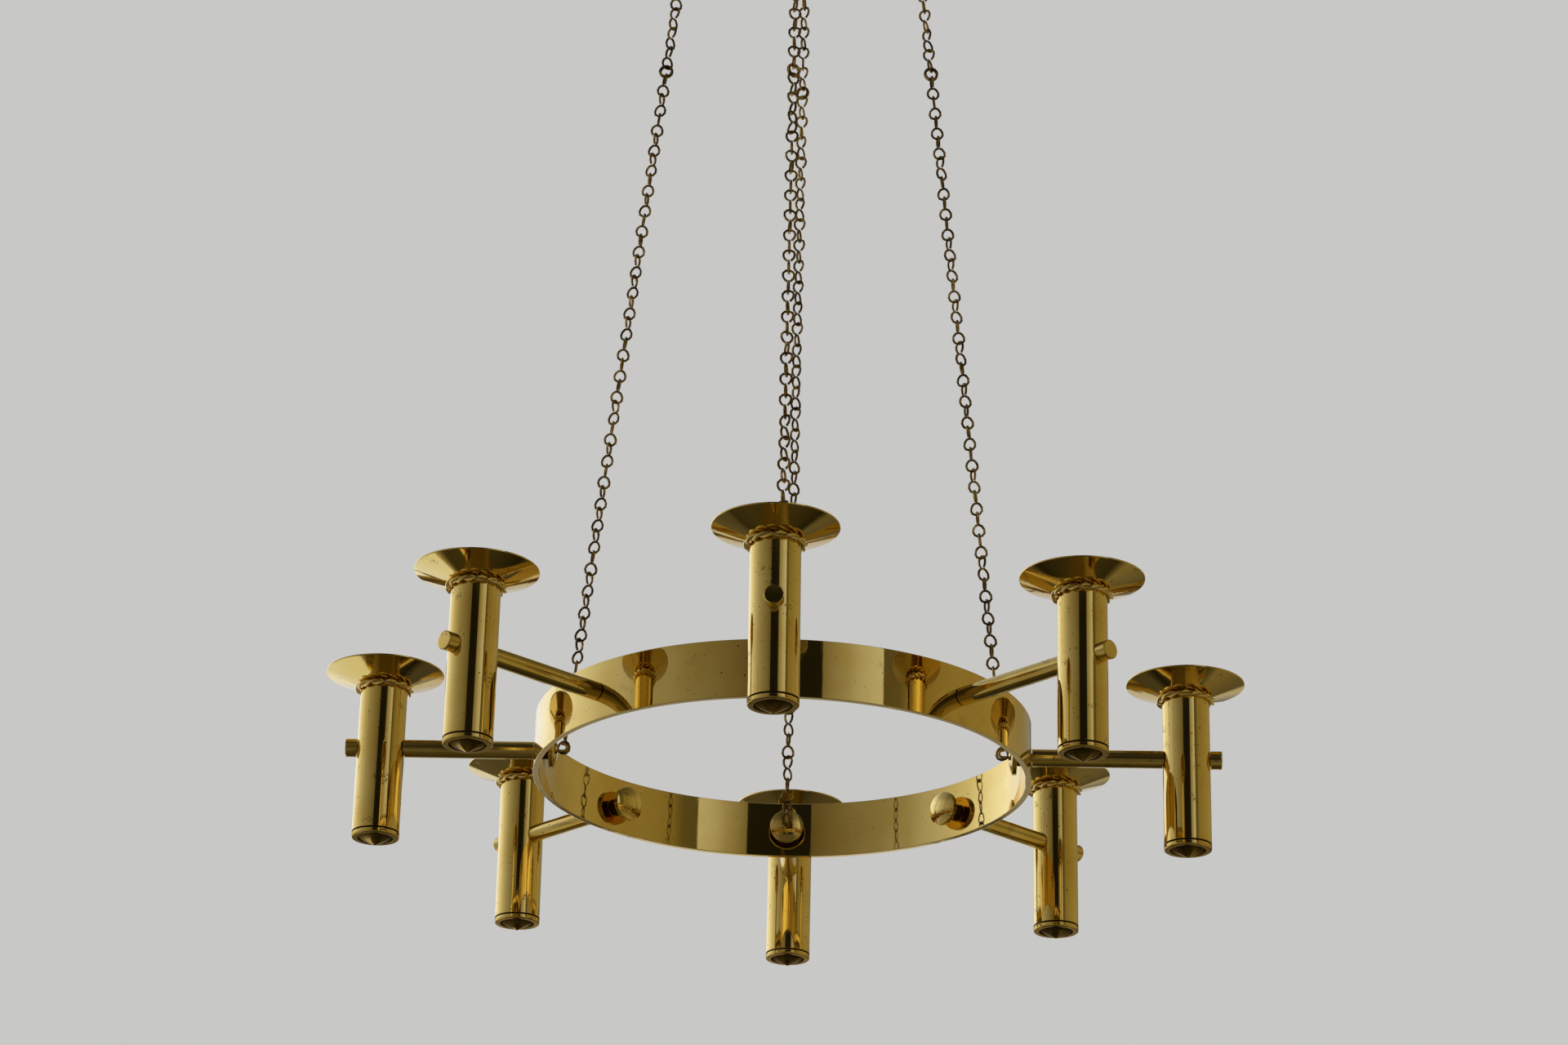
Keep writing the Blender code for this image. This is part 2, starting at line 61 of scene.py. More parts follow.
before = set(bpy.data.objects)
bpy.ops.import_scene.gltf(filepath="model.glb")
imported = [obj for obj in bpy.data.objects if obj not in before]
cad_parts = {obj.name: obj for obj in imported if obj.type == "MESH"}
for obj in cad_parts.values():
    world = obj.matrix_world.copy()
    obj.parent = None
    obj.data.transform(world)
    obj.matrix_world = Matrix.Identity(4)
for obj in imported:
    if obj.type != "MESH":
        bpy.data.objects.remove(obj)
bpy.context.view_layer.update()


@dataclass(frozen=True)
class Places:
    """Places that the sub-assemblies share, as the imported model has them."""

    arm_z: float
    band_outer: float
    band_height: float
    holder_circle: float
    band_thickness: float = 0.003
    count: int = 8
    tube_radius: float = 0.0125
    tube_wall: float = 0.0009

    @classmethod
    def measured(cls) -> "Places":
        """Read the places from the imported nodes' boxes."""
        band_low, band_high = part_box("ring_band")
        tube_low, tube_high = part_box("candle_tube_3")
        return cls(
            arm_z=(band_low.z + band_high.z) / 2,
            band_outer=band_high.x,
            band_height=band_high.z - band_low.z,
            holder_circle=(tube_low.x + tube_high.x) / 2,
        )

    @property
    def band_inner(self) -> float:
        """Inner radius of the band."""
        return self.band_outer - self.band_thickness

    def spoke(self, index: int) -> Matrix:
        """Frame at the band's centre, X out along an arm; arm 0 is the front, 2 the right."""
        turn = math.radians(-90) + math.tau * index / self.count
        return Matrix.Translation((0, 0, self.arm_z)) @ Matrix.Rotation(turn, 4, "Z")


class Side(Enum):
    """The four spokes that carry a chain, by the number of their arm."""

    FRONT = 0
    RIGHT = 2
    BACK = 4
    LEFT = 6


class NodeBench:
    """Adds nodes to one tree and joins them up."""

    def __init__(self, tree: bpy.types.NodeTree) -> None:
        """Work on the node tree of a material, a world or a modifier."""
        self.tree = tree

    def add(self, kind: str, sockets: dict | None = None, **settings: object) -> bpy.types.Node:
        """Add a node, set its options, and set or link its inputs.

        Args:
            kind: Blender's name for the node's type.
            sockets: Values, or output sockets to link from, by input name or number.
            **settings: The node's own options.

        Returns:
            The new node.
        """
        node = self.tree.nodes.new(kind)
        for name, value in settings.items():
            setattr(node, name, value)
        self.feed(node, sockets or {})
        return node

    def feed(self, node: bpy.types.Node, sockets: dict) -> None:
        """Set or link some inputs of a node.

        Args:
            node: The node.
            sockets: Values, or output sockets to link from, by input name or number.
        """
        for key, value in sockets.items():
            if isinstance(value, Socket):
                self.tree.links.new(value, node.inputs[key])
            else:
                node.inputs[key].default_value = value

    def out(self, kind: str, sockets: dict | None = None, **settings: object) -> Socket:
        """Add a node as add() does, and give its first output."""
        return self.add(kind, sockets, **settings).outputs[0]

    def math(self, operation: str, first: object, second: object = 0.0) -> Socket:
        """Join two values or sockets by an operation of the Math node."""
        return self.out("ShaderNodeMath", {0: first, 1: second}, operation=operation)

    def times(self, first: object, second: object) -> Socket:
        """Multiply two values or sockets."""
        return self.math("MULTIPLY", first, second)

    def total(self, base: object, *shares: tuple[object, float]) -> Socket:
        """Add weighted values to a base.

        Args:
            base: Value or socket to start from.
            *shares: Value or socket of each term, and its weight.

        Returns:
            The sum's socket.
        """
        for value, weight in shares:
            base = self.math("ADD", base, self.times(value, weight))
        return base

    def highest(self, first: Socket, *others: Socket) -> Socket:
        """Take the highest of some values.

        Args:
            first: The first value's socket.
            *others: The other values' sockets.

        Returns:
            The highest value's socket.
        """
        for other in others:
            first = self.math("MAXIMUM", first, other)
        return first

    def mix(self, share: object, first: object, second: object) -> Socket:
        """Mix two colours or sockets by the share of the second."""
        sockets = {0: share, 6: _rgba(first), 7: _rgba(second)}
        return self.add("ShaderNodeMix", sockets, data_type="RGBA").outputs[2]

    def step(self, value: object, low: float, high: float) -> Socket:
        """Ease a value from 0 at the low bound to 1 at the high one."""
        sockets = {"Value": value, "From Min": low, "From Max": high}
        return self.out("ShaderNodeMapRange", sockets, interpolation_type="SMOOTHSTEP")

    def noise(self, place: Socket, size: float, detail: float, **more: float) -> Socket:
        """Noise at coordinates in metres, its patches of a real size."""
        sockets = {"Vector": place, "Scale": 1 / size, "Detail": detail, **more}
        return self.out("ShaderNodeTexNoise", sockets)


def _rgba(value: object) -> object:
    """Give a plain colour its alpha, and pass a socket through."""
    return value if isinstance(value, Socket) else (*value, 1.0)


def new_material(name: str) -> tuple[bpy.types.Material, NodeBench, bpy.types.Node, Socket]:
    """Start a node material.

    Args:
        name: Name of the material.

    Returns:
        The material, the bench for its nodes, its shader node, and the object coordinates.
    """
    made = bpy.data.materials.new(name)
    made.use_nodes = True
    bench = NodeBench(made.node_tree)
    place = bench.add("ShaderNodeTexCoord").outputs["Object"]
    return made, bench, made.node_tree.nodes["Principled BSDF"], place


@dataclass(frozen=True)
class BrassFinish:
    """Old brass, polished by hand: two tints, thin tarnish, streaks, specks and scratches, and dirt with
    painted shade in the corners that the mesh marks.

    Pits, specks and dents are each the size of a cell, the radius of a spot as a share of the
    cell, and the size of a group of spots. The values named dulls add to the roughness.
    """

    name: str
    light: Colour = (0.84, 0.63, 0.21)
    deep: Colour = (0.77, 0.55, 0.15)
    film: Colour = (0.38, 0.22, 0.055)
    # Colour of pits, specks, stains and streaks, and of the painted shade with dirt in marked corners.
    pit_and_shade: Colour = (0.05, 0.032, 0.012)
    edge: Colour = (1.0, 1.0, 1.0)
    roughness: float = 0.06
    film_dulls: float = 0.06
    mottle_dulls: float = 0.02
    scratch_dulls: float = 0.05
    dirt_dulls: float = 0.35
    cloud_size: float = 0.030
    mottle_size: float = 0.0035
    film_share: float = 0.30
    film_depth: float = 0.45
    stain_share: float = 0.5
    streak_share: float = 0.0
    speck_share: float = 0.25
    # How dark the dirt and painted shade in the marked corners become.
    crust_and_shade_share: float = 0.9
    turning: float = 0.0
    unevenness: float = 0.00004
    uneven_size: float = 0.045
    mark_depth: float = 0.000004
    scratch_depth: float = 0.08
    pits: Spots = (0.0040, 0.085, 0.020)
    specks: Spots = (0.0016, 0.13, 0.012)
    dents: Spots = (0.0048, 0.055, 0.015)

    def material(self) -> bpy.types.Material:
        """Build the finish's node material."""
        return BrassNodes(self).build()


class BrassNodes:
    """Nodes of one brass material. Marks are sockets from 0, clean, to 1, marked."""

    def __init__(self, finish: BrassFinish) -> None:
        """Start the material.

        Args:
            finish: The finish that it shows.
        """
        self.finish = finish
        self.made, self.bench, self.shader, self.place = new_material(finish.name)
        self.mottle = self.bench.noise(self.place, finish.mottle_size, 3.0)
        self.wrap = self.bench.out("ShaderNodeUVMap", uv_map=UV_NAME)
        # The mesh's mark for dirt and painted shade in corners and recesses, and for tarnish on the caps.
        self.grime = self.bench.add("ShaderNodeAttribute", attribute_name=GRIME_AND_SHADE_NAME).outputs["Fac"]

    def build(self) -> bpy.types.Material:
        """Join the marks into colour, roughness and bumps.

        Returns:
            The material.
        """
        finish, bench = self.finish, self.bench
        film, scratches = self._film(), self._scratches()
        dark = bench.highest(self._pits(), self._streaks(), self._stains(), self._crust_and_shade())
        clouds = bench.noise(self.place, finish.cloud_size, 4.0)
        colour = bench.mix(bench.step(clouds, 0.34, 0.66), finish.deep, finish.light)
        colour = bench.mix(bench.times(film, finish.film_depth), colour, finish.film)
        dull = bench.total(finish.roughness, (film, finish.film_dulls),
                           (self.mottle, finish.mottle_dulls), (scratches, finish.scratch_dulls),
                           (dark, finish.dirt_dulls))
        slow = bench.noise(self.place, finish.uneven_size, 2.0)
        wavy = bench.out("ShaderNodeBump", {"Height": slow, "Distance": finish.unevenness})
        rough = bench.total(self.mottle, (dark, -1.0), (scratches, -finish.scratch_depth))
        fine = {"Height": rough, "Distance": finish.mark_depth, "Normal": wavy}
        # The dark marks take the pit colour: pits, stains and streaks, and painted shade with dirt in
        # marked corners.
        bench.feed(self.shader, {
            "Metallic": 1.0, "Specular Tint": _rgba(finish.edge), "Roughness": dull,
            "Base Color": bench.mix(dark, colour, finish.pit_and_shade),
            "Normal": bench.out("ShaderNodeBump", fine),
        })
        return self.made

    def _film(self) -> Socket:
        """Thin brown tarnish in patches with uneven edges, and wherever the mesh is marked with tarnish,
        dirt and painted shade.

        Returns:
            The mark's socket.
        """
        size, share = self.finish.cloud_size * 1.4, self.finish.film_share
        broad = self.bench.noise(self.place, size, 6.0, Roughness=0.62, Distortion=0.7)
        edge = 0.76 - 0.34 * share
        patches = self.bench.step(self.bench.total(broad, (self.mottle, 0.12)), edge, edge + 0.16)
        return self.bench.highest(patches, self.bench.step(self.grime, 0.0, 0.2))

    def _pits(self) -> Socket:
        """Dark pits, finer specks between them, and a few short dents.

        Returns:
            The mark's socket.
        """
        pits = self._cells(self.place, self.finish.pits)
        specks = self._cells(self.place, self.finish.specks)
        return self.bench.highest(pits, specks, self._cells(self._scaled(0.14, 1.0), self.finish.dents))

    def _cells(self, place: Socket, spots: Spots) -> Socket:
        """Spots in the middle of some cells, where a slow noise groups them.

        Args:
            place: Coordinates in metres.
            spots: Size of a cell, radius of a spot as a share of it, and size of a group.

        Returns:
            The mark's socket.
        """
        bench, (size, radius, group_size) = self.bench, spots
        cells = bench.add("ShaderNodeTexVoronoi", {"Vector": place, "Scale": 1 / size}).outputs
        chance = bench.out("ShaderNodeSeparateColor", {0: cells["Color"]})
        chosen = bench.math("GREATER_THAN", chance, 1.0 - self.finish.speck_share)
        groups = bench.step(bench.noise(place, group_size, 2.0), 0.50, 0.58)
        inside = bench.step(cells["Distance"], radius * 1.5, radius)
        return bench.times(bench.times(chosen, groups), inside)

    def _stains(self) -> Socket:
        """Small brown stains, each broken up into fine dots.

        Returns:
            The mark's socket.
        """
        spots = self.bench.step(self.bench.noise(self.place, 0.0085, 1.0), 0.665, 0.72)
        dots = self.bench.step(self.bench.noise(self.place, 0.0011, 2.0), 0.46, 0.60)
        return self.bench.times(self.bench.times(spots, dots), self.finish.stain_share)

    def _crust_and_shade(self) -> Socket:
        """Old polish and dirt, with painted shade, in the corners and recesses that the mesh marks."""
        broken = self.bench.total(self.grime, (self.mottle, 0.5))
        return self.bench.times(self.bench.step(broken, 0.45, 1.1), self.finish.crust_and_shade_share)

    def _streaks(self) -> Socket:
        """Tarnish streaks along the surface's own map."""
        broad = self.bench.noise(self._scaled(1.0, 0.06), 0.0022, 4.0, Roughness=0.6)
        return self.bench.times(self.bench.step(broad, 0.60, 0.68), self.finish.streak_share)

    def _scratches(self) -> Socket:
        """Fine scratches along the surface's own map, and turning marks across it.

        Returns:
            The mark's socket.
        """
        fine = self.bench.step(self.bench.noise(self._scaled(1.0, 0.03), 0.0007, 2.0), 0.62, 0.72)
        rings = self.bench.step(self.bench.noise(self._scaled(0.03, 1.0), 0.0006, 2.0), 0.50, 0.72)
        return self.bench.highest(fine, self.bench.times(rings, self.finish.turning))

    def _scaled(self, across: float, along: float) -> Socket:
        """The surface's own map, scaled across and along."""
        sockets = {"Vector": self.wrap, "Scale": (across, along, 1.0)}
        return self.bench.out("ShaderNodeMapping", sockets)


@dataclass(frozen=True)
class WireFinish:
    """Wire gone dark with age, rubbed brighter in scattered patches."""

    name: str
    dark: Colour
    rubbed: Colour
    roughness: float
    patch_size: float = 0.004
    grain: float = 0.00002
    grain_size: float = 0.0006
    wear_shines: float = 0.14

    def material(self) -> bpy.types.Material:
        """Build the finish's node material.

        Returns:
            The material.
        """
        made, bench, shader, place = new_material(self.name)
        patches = bench.noise(place, self.patch_size, 5.0, Roughness=0.6)
        broad = bench.noise(place, self.patch_size * 14, 2.0)
        wear = bench.step(bench.total(patches, (broad, 0.5)), 0.6, 0.95)
        grain = {"Height": bench.noise(place, self.grain_size, 3.0), "Distance": self.grain}
        bench.feed(shader, {
            "Metallic": 1.0, "Base Color": bench.mix(wear, self.dark, self.rubbed),
            "Roughness": bench.total(self.roughness, (wear, -self.wear_shines)),
            "Normal": bench.out("ShaderNodeBump", grain),
        })
        return made


@dataclass(frozen=True)
class Coat:
    """A finish in use: its slot in the record, and its material."""

    slot: str
    material: bpy.types.Material


class Finishes:
    """Every finish of the lamp, built once and shared."""

    def __init__(self) -> None:
        """Build the materials, each under its slot in the record."""
        finishes = [
            BrassFinish("band_brass", roughness=0.02, film_share=0.12, film_depth=0.30,
                        speck_share=0.12, unevenness=0.00012, uneven_size=0.06, stain_share=0.2),
            BrassFinish("arm_brass", streak_share=0.40, film_share=0.22, cloud_size=0.02),
            BrassFinish("tube_brass", roughness=0.035, speck_share=0.5, film_share=0.12,
                        film_depth=0.35, streak_share=0.04),
            BrassFinish("cap_brass", edge=(0.45, 0.42, 0.42), roughness=0.04, film_share=0.12,
                        film_depth=0.65, turning=0.15),
            BrassFinish("pan_brass", film_share=0.28, film_depth=0.35, speck_share=0.4, turning=0.08),
            BrassFinish("nut_brass", film_share=0.20, speck_share=0.15, turning=0.3),
            BrassFinish("knob_brass", roughness=0.09, film_share=0.25, turning=0.4),
            WireFinish("hook_brass", (0.55, 0.38, 0.13), (0.86, 0.68, 0.30), 0.22),
            WireFinish("chain_bronze", (0.12, 0.075, 0.024), (0.54, 0.37, 0.12), 0.34),
            BrassFinish("fitting_brass", roughness=0.20, film_share=0.45, turning=0.4),
        ]
        self.by_slot = {finish.name: Coat(finish.name, finish.material()) for finish in finishes}
        wire = WireFinish("collar_brass", (0.83, 0.65, 0.26), (0.91, 0.73, 0.32), 0.20, 0.012, 0.000003)
        self.collar = Coat("tube_brass", wire.material())


def rounded(corners: Sequence[tuple[float, ...]], steps: int = 3) -> list[Point]:
    """Round the corners of a profile, with a guard point beyond each round.

    The guard points keep the shading of the flats true up to the rounds.

    Args:
        corners: (across, up) or (across, up, fillet radius) for each corner in turn.
        steps: Segments in each round.

    Returns:
        The points of the rounded profile.
    """
    points: list[Vector] = []
    for index, corner in enumerate(corners):
        here = Vector(corner[:2])
        fillet = corner[2] if len(corner) > 2 else 0.0
        if not fillet or index in (0, len(corners) - 1):
            points.append(here)
            continue
        back = Vector(corners[index - 1][:2]) - here
        ahead = Vector(corners[index + 1][:2]) - here
        half = back.angle(ahead) / 2
        reach = min(fillet / math.tan(half), ROUND_ROOM * min(back.length, ahead.length))
        radius = reach * math.tan(half)
        middle = (back.normalized() + ahead.normalized()).normalized()
        centre = here + middle * (radius / math.sin(half))
        start = here + back.normalized() * reach - centre
        end = here + ahead.normalized() * reach - centre
        points.append(here + back.normalized() * (reach + min(reach, GUARD_SHARE * back.length)))
        for step in range(steps + 1):
            points.append(centre + start.lerp(end, step / steps).normalized() * radius)
        points.append(here + ahead.normalized() * (reach + min(reach, GUARD_SHARE * ahead.length)))
    return [(point.x, point.y) for point in points]


def skin(name: str, rings: Sequence[Sequence[Vector]], girth: float, joined: bool) -> Mesh:
    """Skin rings of points, with a UV map in metres wrapped round them.

    Args:
        name: Name of the mesh.
        rings: Rings with the same number of points; a ring may shrink to one place.
        girth: Length that the map gives to one turn.
        joined: Whether the last ring joins the first.

    Returns:
        The mesh, its doubles merged and its faces pointing outwards.
    """
    count = len(rings[0])
    distance = 0.0
    along = [distance]
    pairs = list(zip(rings, rings[1:]))
    if joined:
        pairs.append((rings[-1], rings[0]))
    for first, second in pairs:
        distance += sum((a - b).length for a, b in zip(first, second)) / count
        along.append(distance)
    bm = bmesh.new()
    verts = [[bm.verts.new(point) for point in ring] for ring in rings]
    if joined:
        verts.append(verts[0])
    layer = bm.loops.layers.uv.new(UV_NAME)
    for row, (lower, upper) in enumerate(zip(verts, verts[1:])):
        for step in range(count):
            after = (step + 1) % count
            face = bm.faces.new((lower[step], lower[after], upper[after], upper[step]))
            places = [(step, row), (step + 1, row), (step + 1, row + 1), (step, row + 1)]
            for loop, (turn, height) in zip(face.loops, places):
                loop[layer].uv = (girth * turn / count, along[height])
    bmesh.ops.remove_doubles(bm, verts=bm.verts, dist=ON_AXIS)
    bmesh.ops.recalc_face_normals(bm, faces=bm.faces)
    return from_bmesh(bm, bpy.data.meshes.new(name))


def from_bmesh(bm: bmesh.types.BMesh, mesh: Mesh) -> Mesh:
    """Put a bmesh into a mesh, free it, and shade the mesh smooth.

    Args:
        bm: The bmesh.
        mesh: The mesh that takes it.

    Returns:
        The same mesh.
    """
    bm.to_mesh(mesh)
    bm.free()
    smooth(mesh)
    return mesh


def smooth(mesh: Mesh) -> None:
    """Shade a mesh smooth and keep its hard edges."""
    mesh.shade_smooth()
    mesh.set_sharp_from_angle(angle=SHARP_ANGLE)


def turned(name: str, profile: Sequence[Point], steps: int) -> Mesh:
    """Spin a profile about Z.

    Args:
        name: Name of the mesh.
        profile: (radius, height) points; a profile off the axis is closed into a ring.
        steps: Segments in a turn.

    Returns:
        The turned mesh.
    """
    turns = [math.tau * step / steps for step in range(steps)]
    rings = [[Vector((radius * math.cos(t), radius * math.sin(t), height)) for t in turns]
             for radius, height in profile]
    girth = math.tau * max(radius for radius, _ in profile)
    return skin(name, rings, girth, profile[0][0] > ON_AXIS)


def sleeve(name: str, radii: Point, heights: Point, edge: float, zone: float, steps: int) -> Mesh:
    """Turn a ring or tube with softened rims, ready for bores through its wall.

    Args:
        name: Name of the mesh.
        radii: Inner and outer radius.
        heights: Height of the lower and of the upper rim.
        edge: Fillet of the rims.
        zone: Distance above and below Z 0 of the points that fence in the bores.
        steps: Segments in a turn.

    Returns:
        The turned mesh.
    """
    (inner, outer), (low, high) = radii, heights
    middle = (inner + outer) / 2
    profile = rounded([
        (middle, low), (outer, low, edge), (outer, -zone), (outer, zone), (outer, high, edge),
        (inner, high, edge), (inner, zone), (inner, -zone), (inner, low, edge), (middle, low),
    ])[:-1]
    return turned(name, profile, steps)


def swept(name: str, path: Sequence[Vector], radius: float, sides: int, joined: bool = False) -> Mesh:
    """Carry a round wire along a path.

    Args:
        name: Name of the mesh.
        path: Points of the wire's middle line.
        radius: Radius of the wire.
        sides: Points round the wire.
        joined: Whether the path is a closed loop.

    Returns:
        The wire's mesh, its open ends closed by a small round.
    """
    count = len(path)
    rings = []
    normal = None
    for index, here in enumerate(path):
        before = path[index - 1] if joined or index else here
        after = path[(index + 1) % count] if joined or index + 1 < count else here
        tangent = (after - before).normalized()
        if normal is None:
            normal = tangent.orthogonal().normalized()
        normal = (normal - tangent * normal.dot(tangent)).normalized()
        side = tangent.cross(normal)
        rings.append(_wire_ring(here, normal, side, radius, sides))
        if not joined and index in (0, count - 1):
            outwards = -1 if index == 0 else 1
            tip = here + tangent * (outwards * radius * 0.3)
            ends = [_wire_ring(tip, normal, side, radius * share, sides) for share in (0.72, 0.0)]
            rings = ends[::-1] + rings if index == 0 else rings + ends
    return skin(name, rings, math.tau * radius, joined)


def _wire_ring(here: Vector, normal: Vector, side: Vector, radius: float, sides: int) -> list[Vector]:
    """Points round a wire, the first along its normal and on towards its side."""
    turns = [math.tau * step / sides for step in range(sides)]
    return [here + normal * (radius * math.cos(t)) + side * (radius * math.sin(t)) for t in turns]


def arc(centre: Point, radius: float, start: float, end: float, steps: int) -> list[Point]:
    """Points (across, up) on an arc between two angles in radians, both ends included."""
    turns = [start + (end - start) * step / steps for step in range(steps + 1)]
    return [(centre[0] + radius * math.cos(t), centre[1] + radius * math.sin(t)) for t in turns]


def add_object(name: str, data: bpy.types.ID) -> bpy.types.Object:
    """Add an object to the scene.

    Args:
        name: Name of the object.
        data: Its mesh, light or camera.

    Returns:
        The object.
    """
    made = bpy.data.objects.new(name, data)
    bpy.context.scene.collection.objects.link(made)
    return made


def drilled(mesh: Mesh, bores: Sequence[tuple[Vector, Vector, float]]) -> Mesh:
    """Cut round holes through a mesh.

    Args:
        mesh: The closed mesh to cut.
        bores: (start, end, radius) of each hole.

    Returns:
        The cut mesh.
    """
    bpy.context.view_layer.update()
    body = add_object("blank", mesh)
    helpers = []
    for start, end, radius in bores:
        helpers.append(add_object("bore", swept("bore", [start, (start + end) / 2, end], radius, 32)))
        cut = body.modifiers.new("bore", "BOOLEAN")
        cut.operation = "DIFFERENCE"
        cut.solver = "EXACT"
        cut.object = helpers[-1]
    result = as_mesh(body, mesh.name)
    for temporary in [*helpers, body]:
        bpy.data.objects.remove(temporary, do_unlink=True)
    smooth(result)
    return result


def soiled_and_shaded(mesh: Mesh, level: Callable[[Vector], float]) -> Mesh:
    """Mark the corners and recesses of a mesh with dirt and painted shade.

    Args:
        mesh: The mesh in its own frame.
        level: Function from a point to the dirt and painted shade there, from 0 to 1.

    Returns:
        The same mesh.
    """
    grime = mesh.attributes.new(GRIME_AND_SHADE_NAME, "FLOAT", "POINT")
    grime.data.foreach_set("value", [level(vertex.co) for vertex in mesh.vertices])
    return mesh


def as_mesh(obj: bpy.types.Object, name: str) -> Mesh:
    """Turn an object and its modifiers into one plain mesh.

    Args:
        obj: The object to evaluate.
        name: Name of the new mesh.

    Returns:
        The plain mesh.
    """
    graph = bpy.context.evaluated_depsgraph_get()
    graph.update()
    result = bpy.data.meshes.new_from_object(obj.evaluated_get(graph), depsgraph=graph)
    result.name = name
    return result


def fit_piece(name: str, mesh: Mesh, place: Matrix, coat: Coat, body: str, *nodes: str) -> None:
    """Add one finished piece, and let it ride on its body in place of its nodes.

    Args:
        name: Name of the piece.
        mesh: Its mesh, which is copied.
        place: Where the copy goes.
        coat: Its finish.
        body: The body that it moves with.
        *nodes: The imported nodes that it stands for.
    """
    copy = mesh.copy()
    copy.transform(place)
    copy.name = name
    copy.materials.clear()
    copy.materials.append(coat.material)
    piece = add_object(name, copy)
    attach(piece, body)
    if nodes:
        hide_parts(*nodes)
    LOG.info("%s: %d faces on %s", name, len(copy.polygons), body)


class GeometryTree:
    """A Geometry Nodes tree with named inputs that ends in plain, realized geometry."""

    def __init__(self, name: str, build: Callable[["GeometryTree"], Socket]) -> None:
        """Make the tree.

        Args:
            name: Name of the tree.
            build: Function that adds the nodes and returns the geometry's socket.
        """
        self.tree = bpy.data.node_groups.new(name, "GeometryNodeTree")
        self.bench = NodeBench(self.tree)
        self.keys: dict[str, str] = {}
        self.tree.interface.new_socket("Geometry", in_out="OUTPUT", socket_type="NodeSocketGeometry")
        self.source = self.bench.add("NodeGroupInput")
        whole = self.bench.out("GeometryNodeRealizeInstances", {"Geometry": build(self)})
        self.bench.add("NodeGroupOutput", {"Geometry": whole})

    def input(self, name: str, kind: str = "NodeSocketFloat") -> Socket:
        """Declare a named input when it is first asked for.

        Args:
            name: Name of the input.
            kind: Blender's name for the socket's type.

        Returns:
            The input's socket inside the tree.
        """
        if name not in self.keys:
            socket = self.tree.interface.new_socket(name, in_out="INPUT", socket_type=kind)
            self.keys[name] = socket.identifier
        return self.source.outputs[name]

    def make(self, name: str, values: dict[str, object]) -> Mesh:
        """Run the tree once and keep its result as a plain mesh.

        Args:
            name: Name of the mesh.
            values: Values of the tree's inputs by name.

        Returns:
            The mesh, its faces pointing outwards.
        """
        holder = add_object(name, bpy.data.meshes.new(name))
        modifier = holder.modifiers.new(self.tree.name, "NODES")
        modifier.node_group = self.tree
        for key, value in values.items():
            modifier[self.keys[key]] = value
        mesh = as_mesh(holder, name)
        bpy.data.objects.remove(holder, do_unlink=True)
        bm = bmesh.new()
        bm.from_mesh(mesh)
        bmesh.ops.recalc_face_normals(bm, faces=bm.faces)
        return from_bmesh(bm, mesh)


def chain_run(tree: GeometryTree) -> Socket:
    """Nodes of a straight run of links, each turned a little further than the last.

    Args:
        tree: The tree that the nodes go into.

    Returns:
        The geometry's socket.
    """
    bench = tree.bench
    step = tree.input("Step", "NodeSocketVector")
    line = {"Count": tree.input("Count", "NodeSocketInt"),
            "Start Location": tree.input("Start", "NodeSocketVector"), "Offset": step}
    twist = bench.times(bench.out("GeometryNodeInputIndex"), tree.input("Twist"))
    most = tree.input("Wobble")
    seed = tree.input("Seed", "NodeSocketInt")
    wobble = bench.add("FunctionNodeRandomValue",
                       {"Min": bench.times(most, -1.0), "Max": most, "Seed": seed}, data_type="FLOAT")
    turn = bench.math("ADD", bench.math("ADD", tree.input("Turn"), twist), _shown_output(wobble))
    upright = bench.out("FunctionNodeAlignRotationToVector", {"Vector": step}, axis="Z")
    spin = bench.out("FunctionNodeAxisAngleToRotation", {"Axis": (0.0, 0.0, 1.0), "Angle": turn})
    rotation = bench.out("FunctionNodeRotateRotation", {"Rotation": upright, "Rotate By": spin},
                         rotation_space="LOCAL")
    link = bench.add("GeometryNodeObjectInfo", {"Object": tree.input("Link", "NodeSocketObject")})
    return bench.out("GeometryNodeInstanceOnPoints", {
        "Points": bench.out("GeometryNodeMeshLine", line),
        "Instance": link.outputs["Geometry"], "Rotation": rotation,
    })


def _shown_output(node: bpy.types.Node) -> Socket:
    """The output that a node with several data types has in use."""
    return next(socket for socket in node.outputs if socket.enabled)


def twisted_collar(tree: GeometryTree) -> Socket:
    """Nodes of a ring of two wires twisted round each other.

    Args:
        tree: The tree that the nodes go into.

    Returns:
        The geometry's socket.
    """
    bench = tree.bench
    points = tree.input("Points", "NodeSocketInt")
    sides = tree.input("Sides", "NodeSocketInt")
    radius, height, offset, wire_radius, twists = (
        tree.input(name) for name in ("Radius", "Height", "Strand Offset", "Wire Radius", "Twists"))
    circle = bench.out("GeometryNodeCurvePrimitiveCircle", {"Resolution": points, "Radius": radius})
    section = bench.out("GeometryNodeCurvePrimitiveCircle", {"Resolution": sides, "Radius": wire_radius})
    number = bench.out("GeometryNodeInputIndex")
    angle = bench.times(bench.math("DIVIDE", number, points), math.tau)
    both = bench.add("GeometryNodeJoinGeometry")
    for phase in (0.0, math.pi):
        roll = bench.math("ADD", bench.times(angle, twists), phase)
        out = bench.math("ADD", bench.times(bench.math("COSINE", roll), offset), radius)
        rise = bench.times(bench.math("SINE", roll), offset)
        place = bench.out("ShaderNodeCombineXYZ", {
            0: bench.times(out, bench.math("COSINE", angle)),
            1: bench.times(out, bench.math("SINE", angle)),
            2: bench.math("ADD", rise, height),
        })
        line = bench.out("GeometryNodeSetPosition", {"Geometry": circle, "Position": place})
        strand = bench.out("GeometryNodeCurveToMesh", {"Curve": line, "Profile Curve": section})
        bench.tree.links.new(strand, both.inputs[0])
    return both.outputs[0]


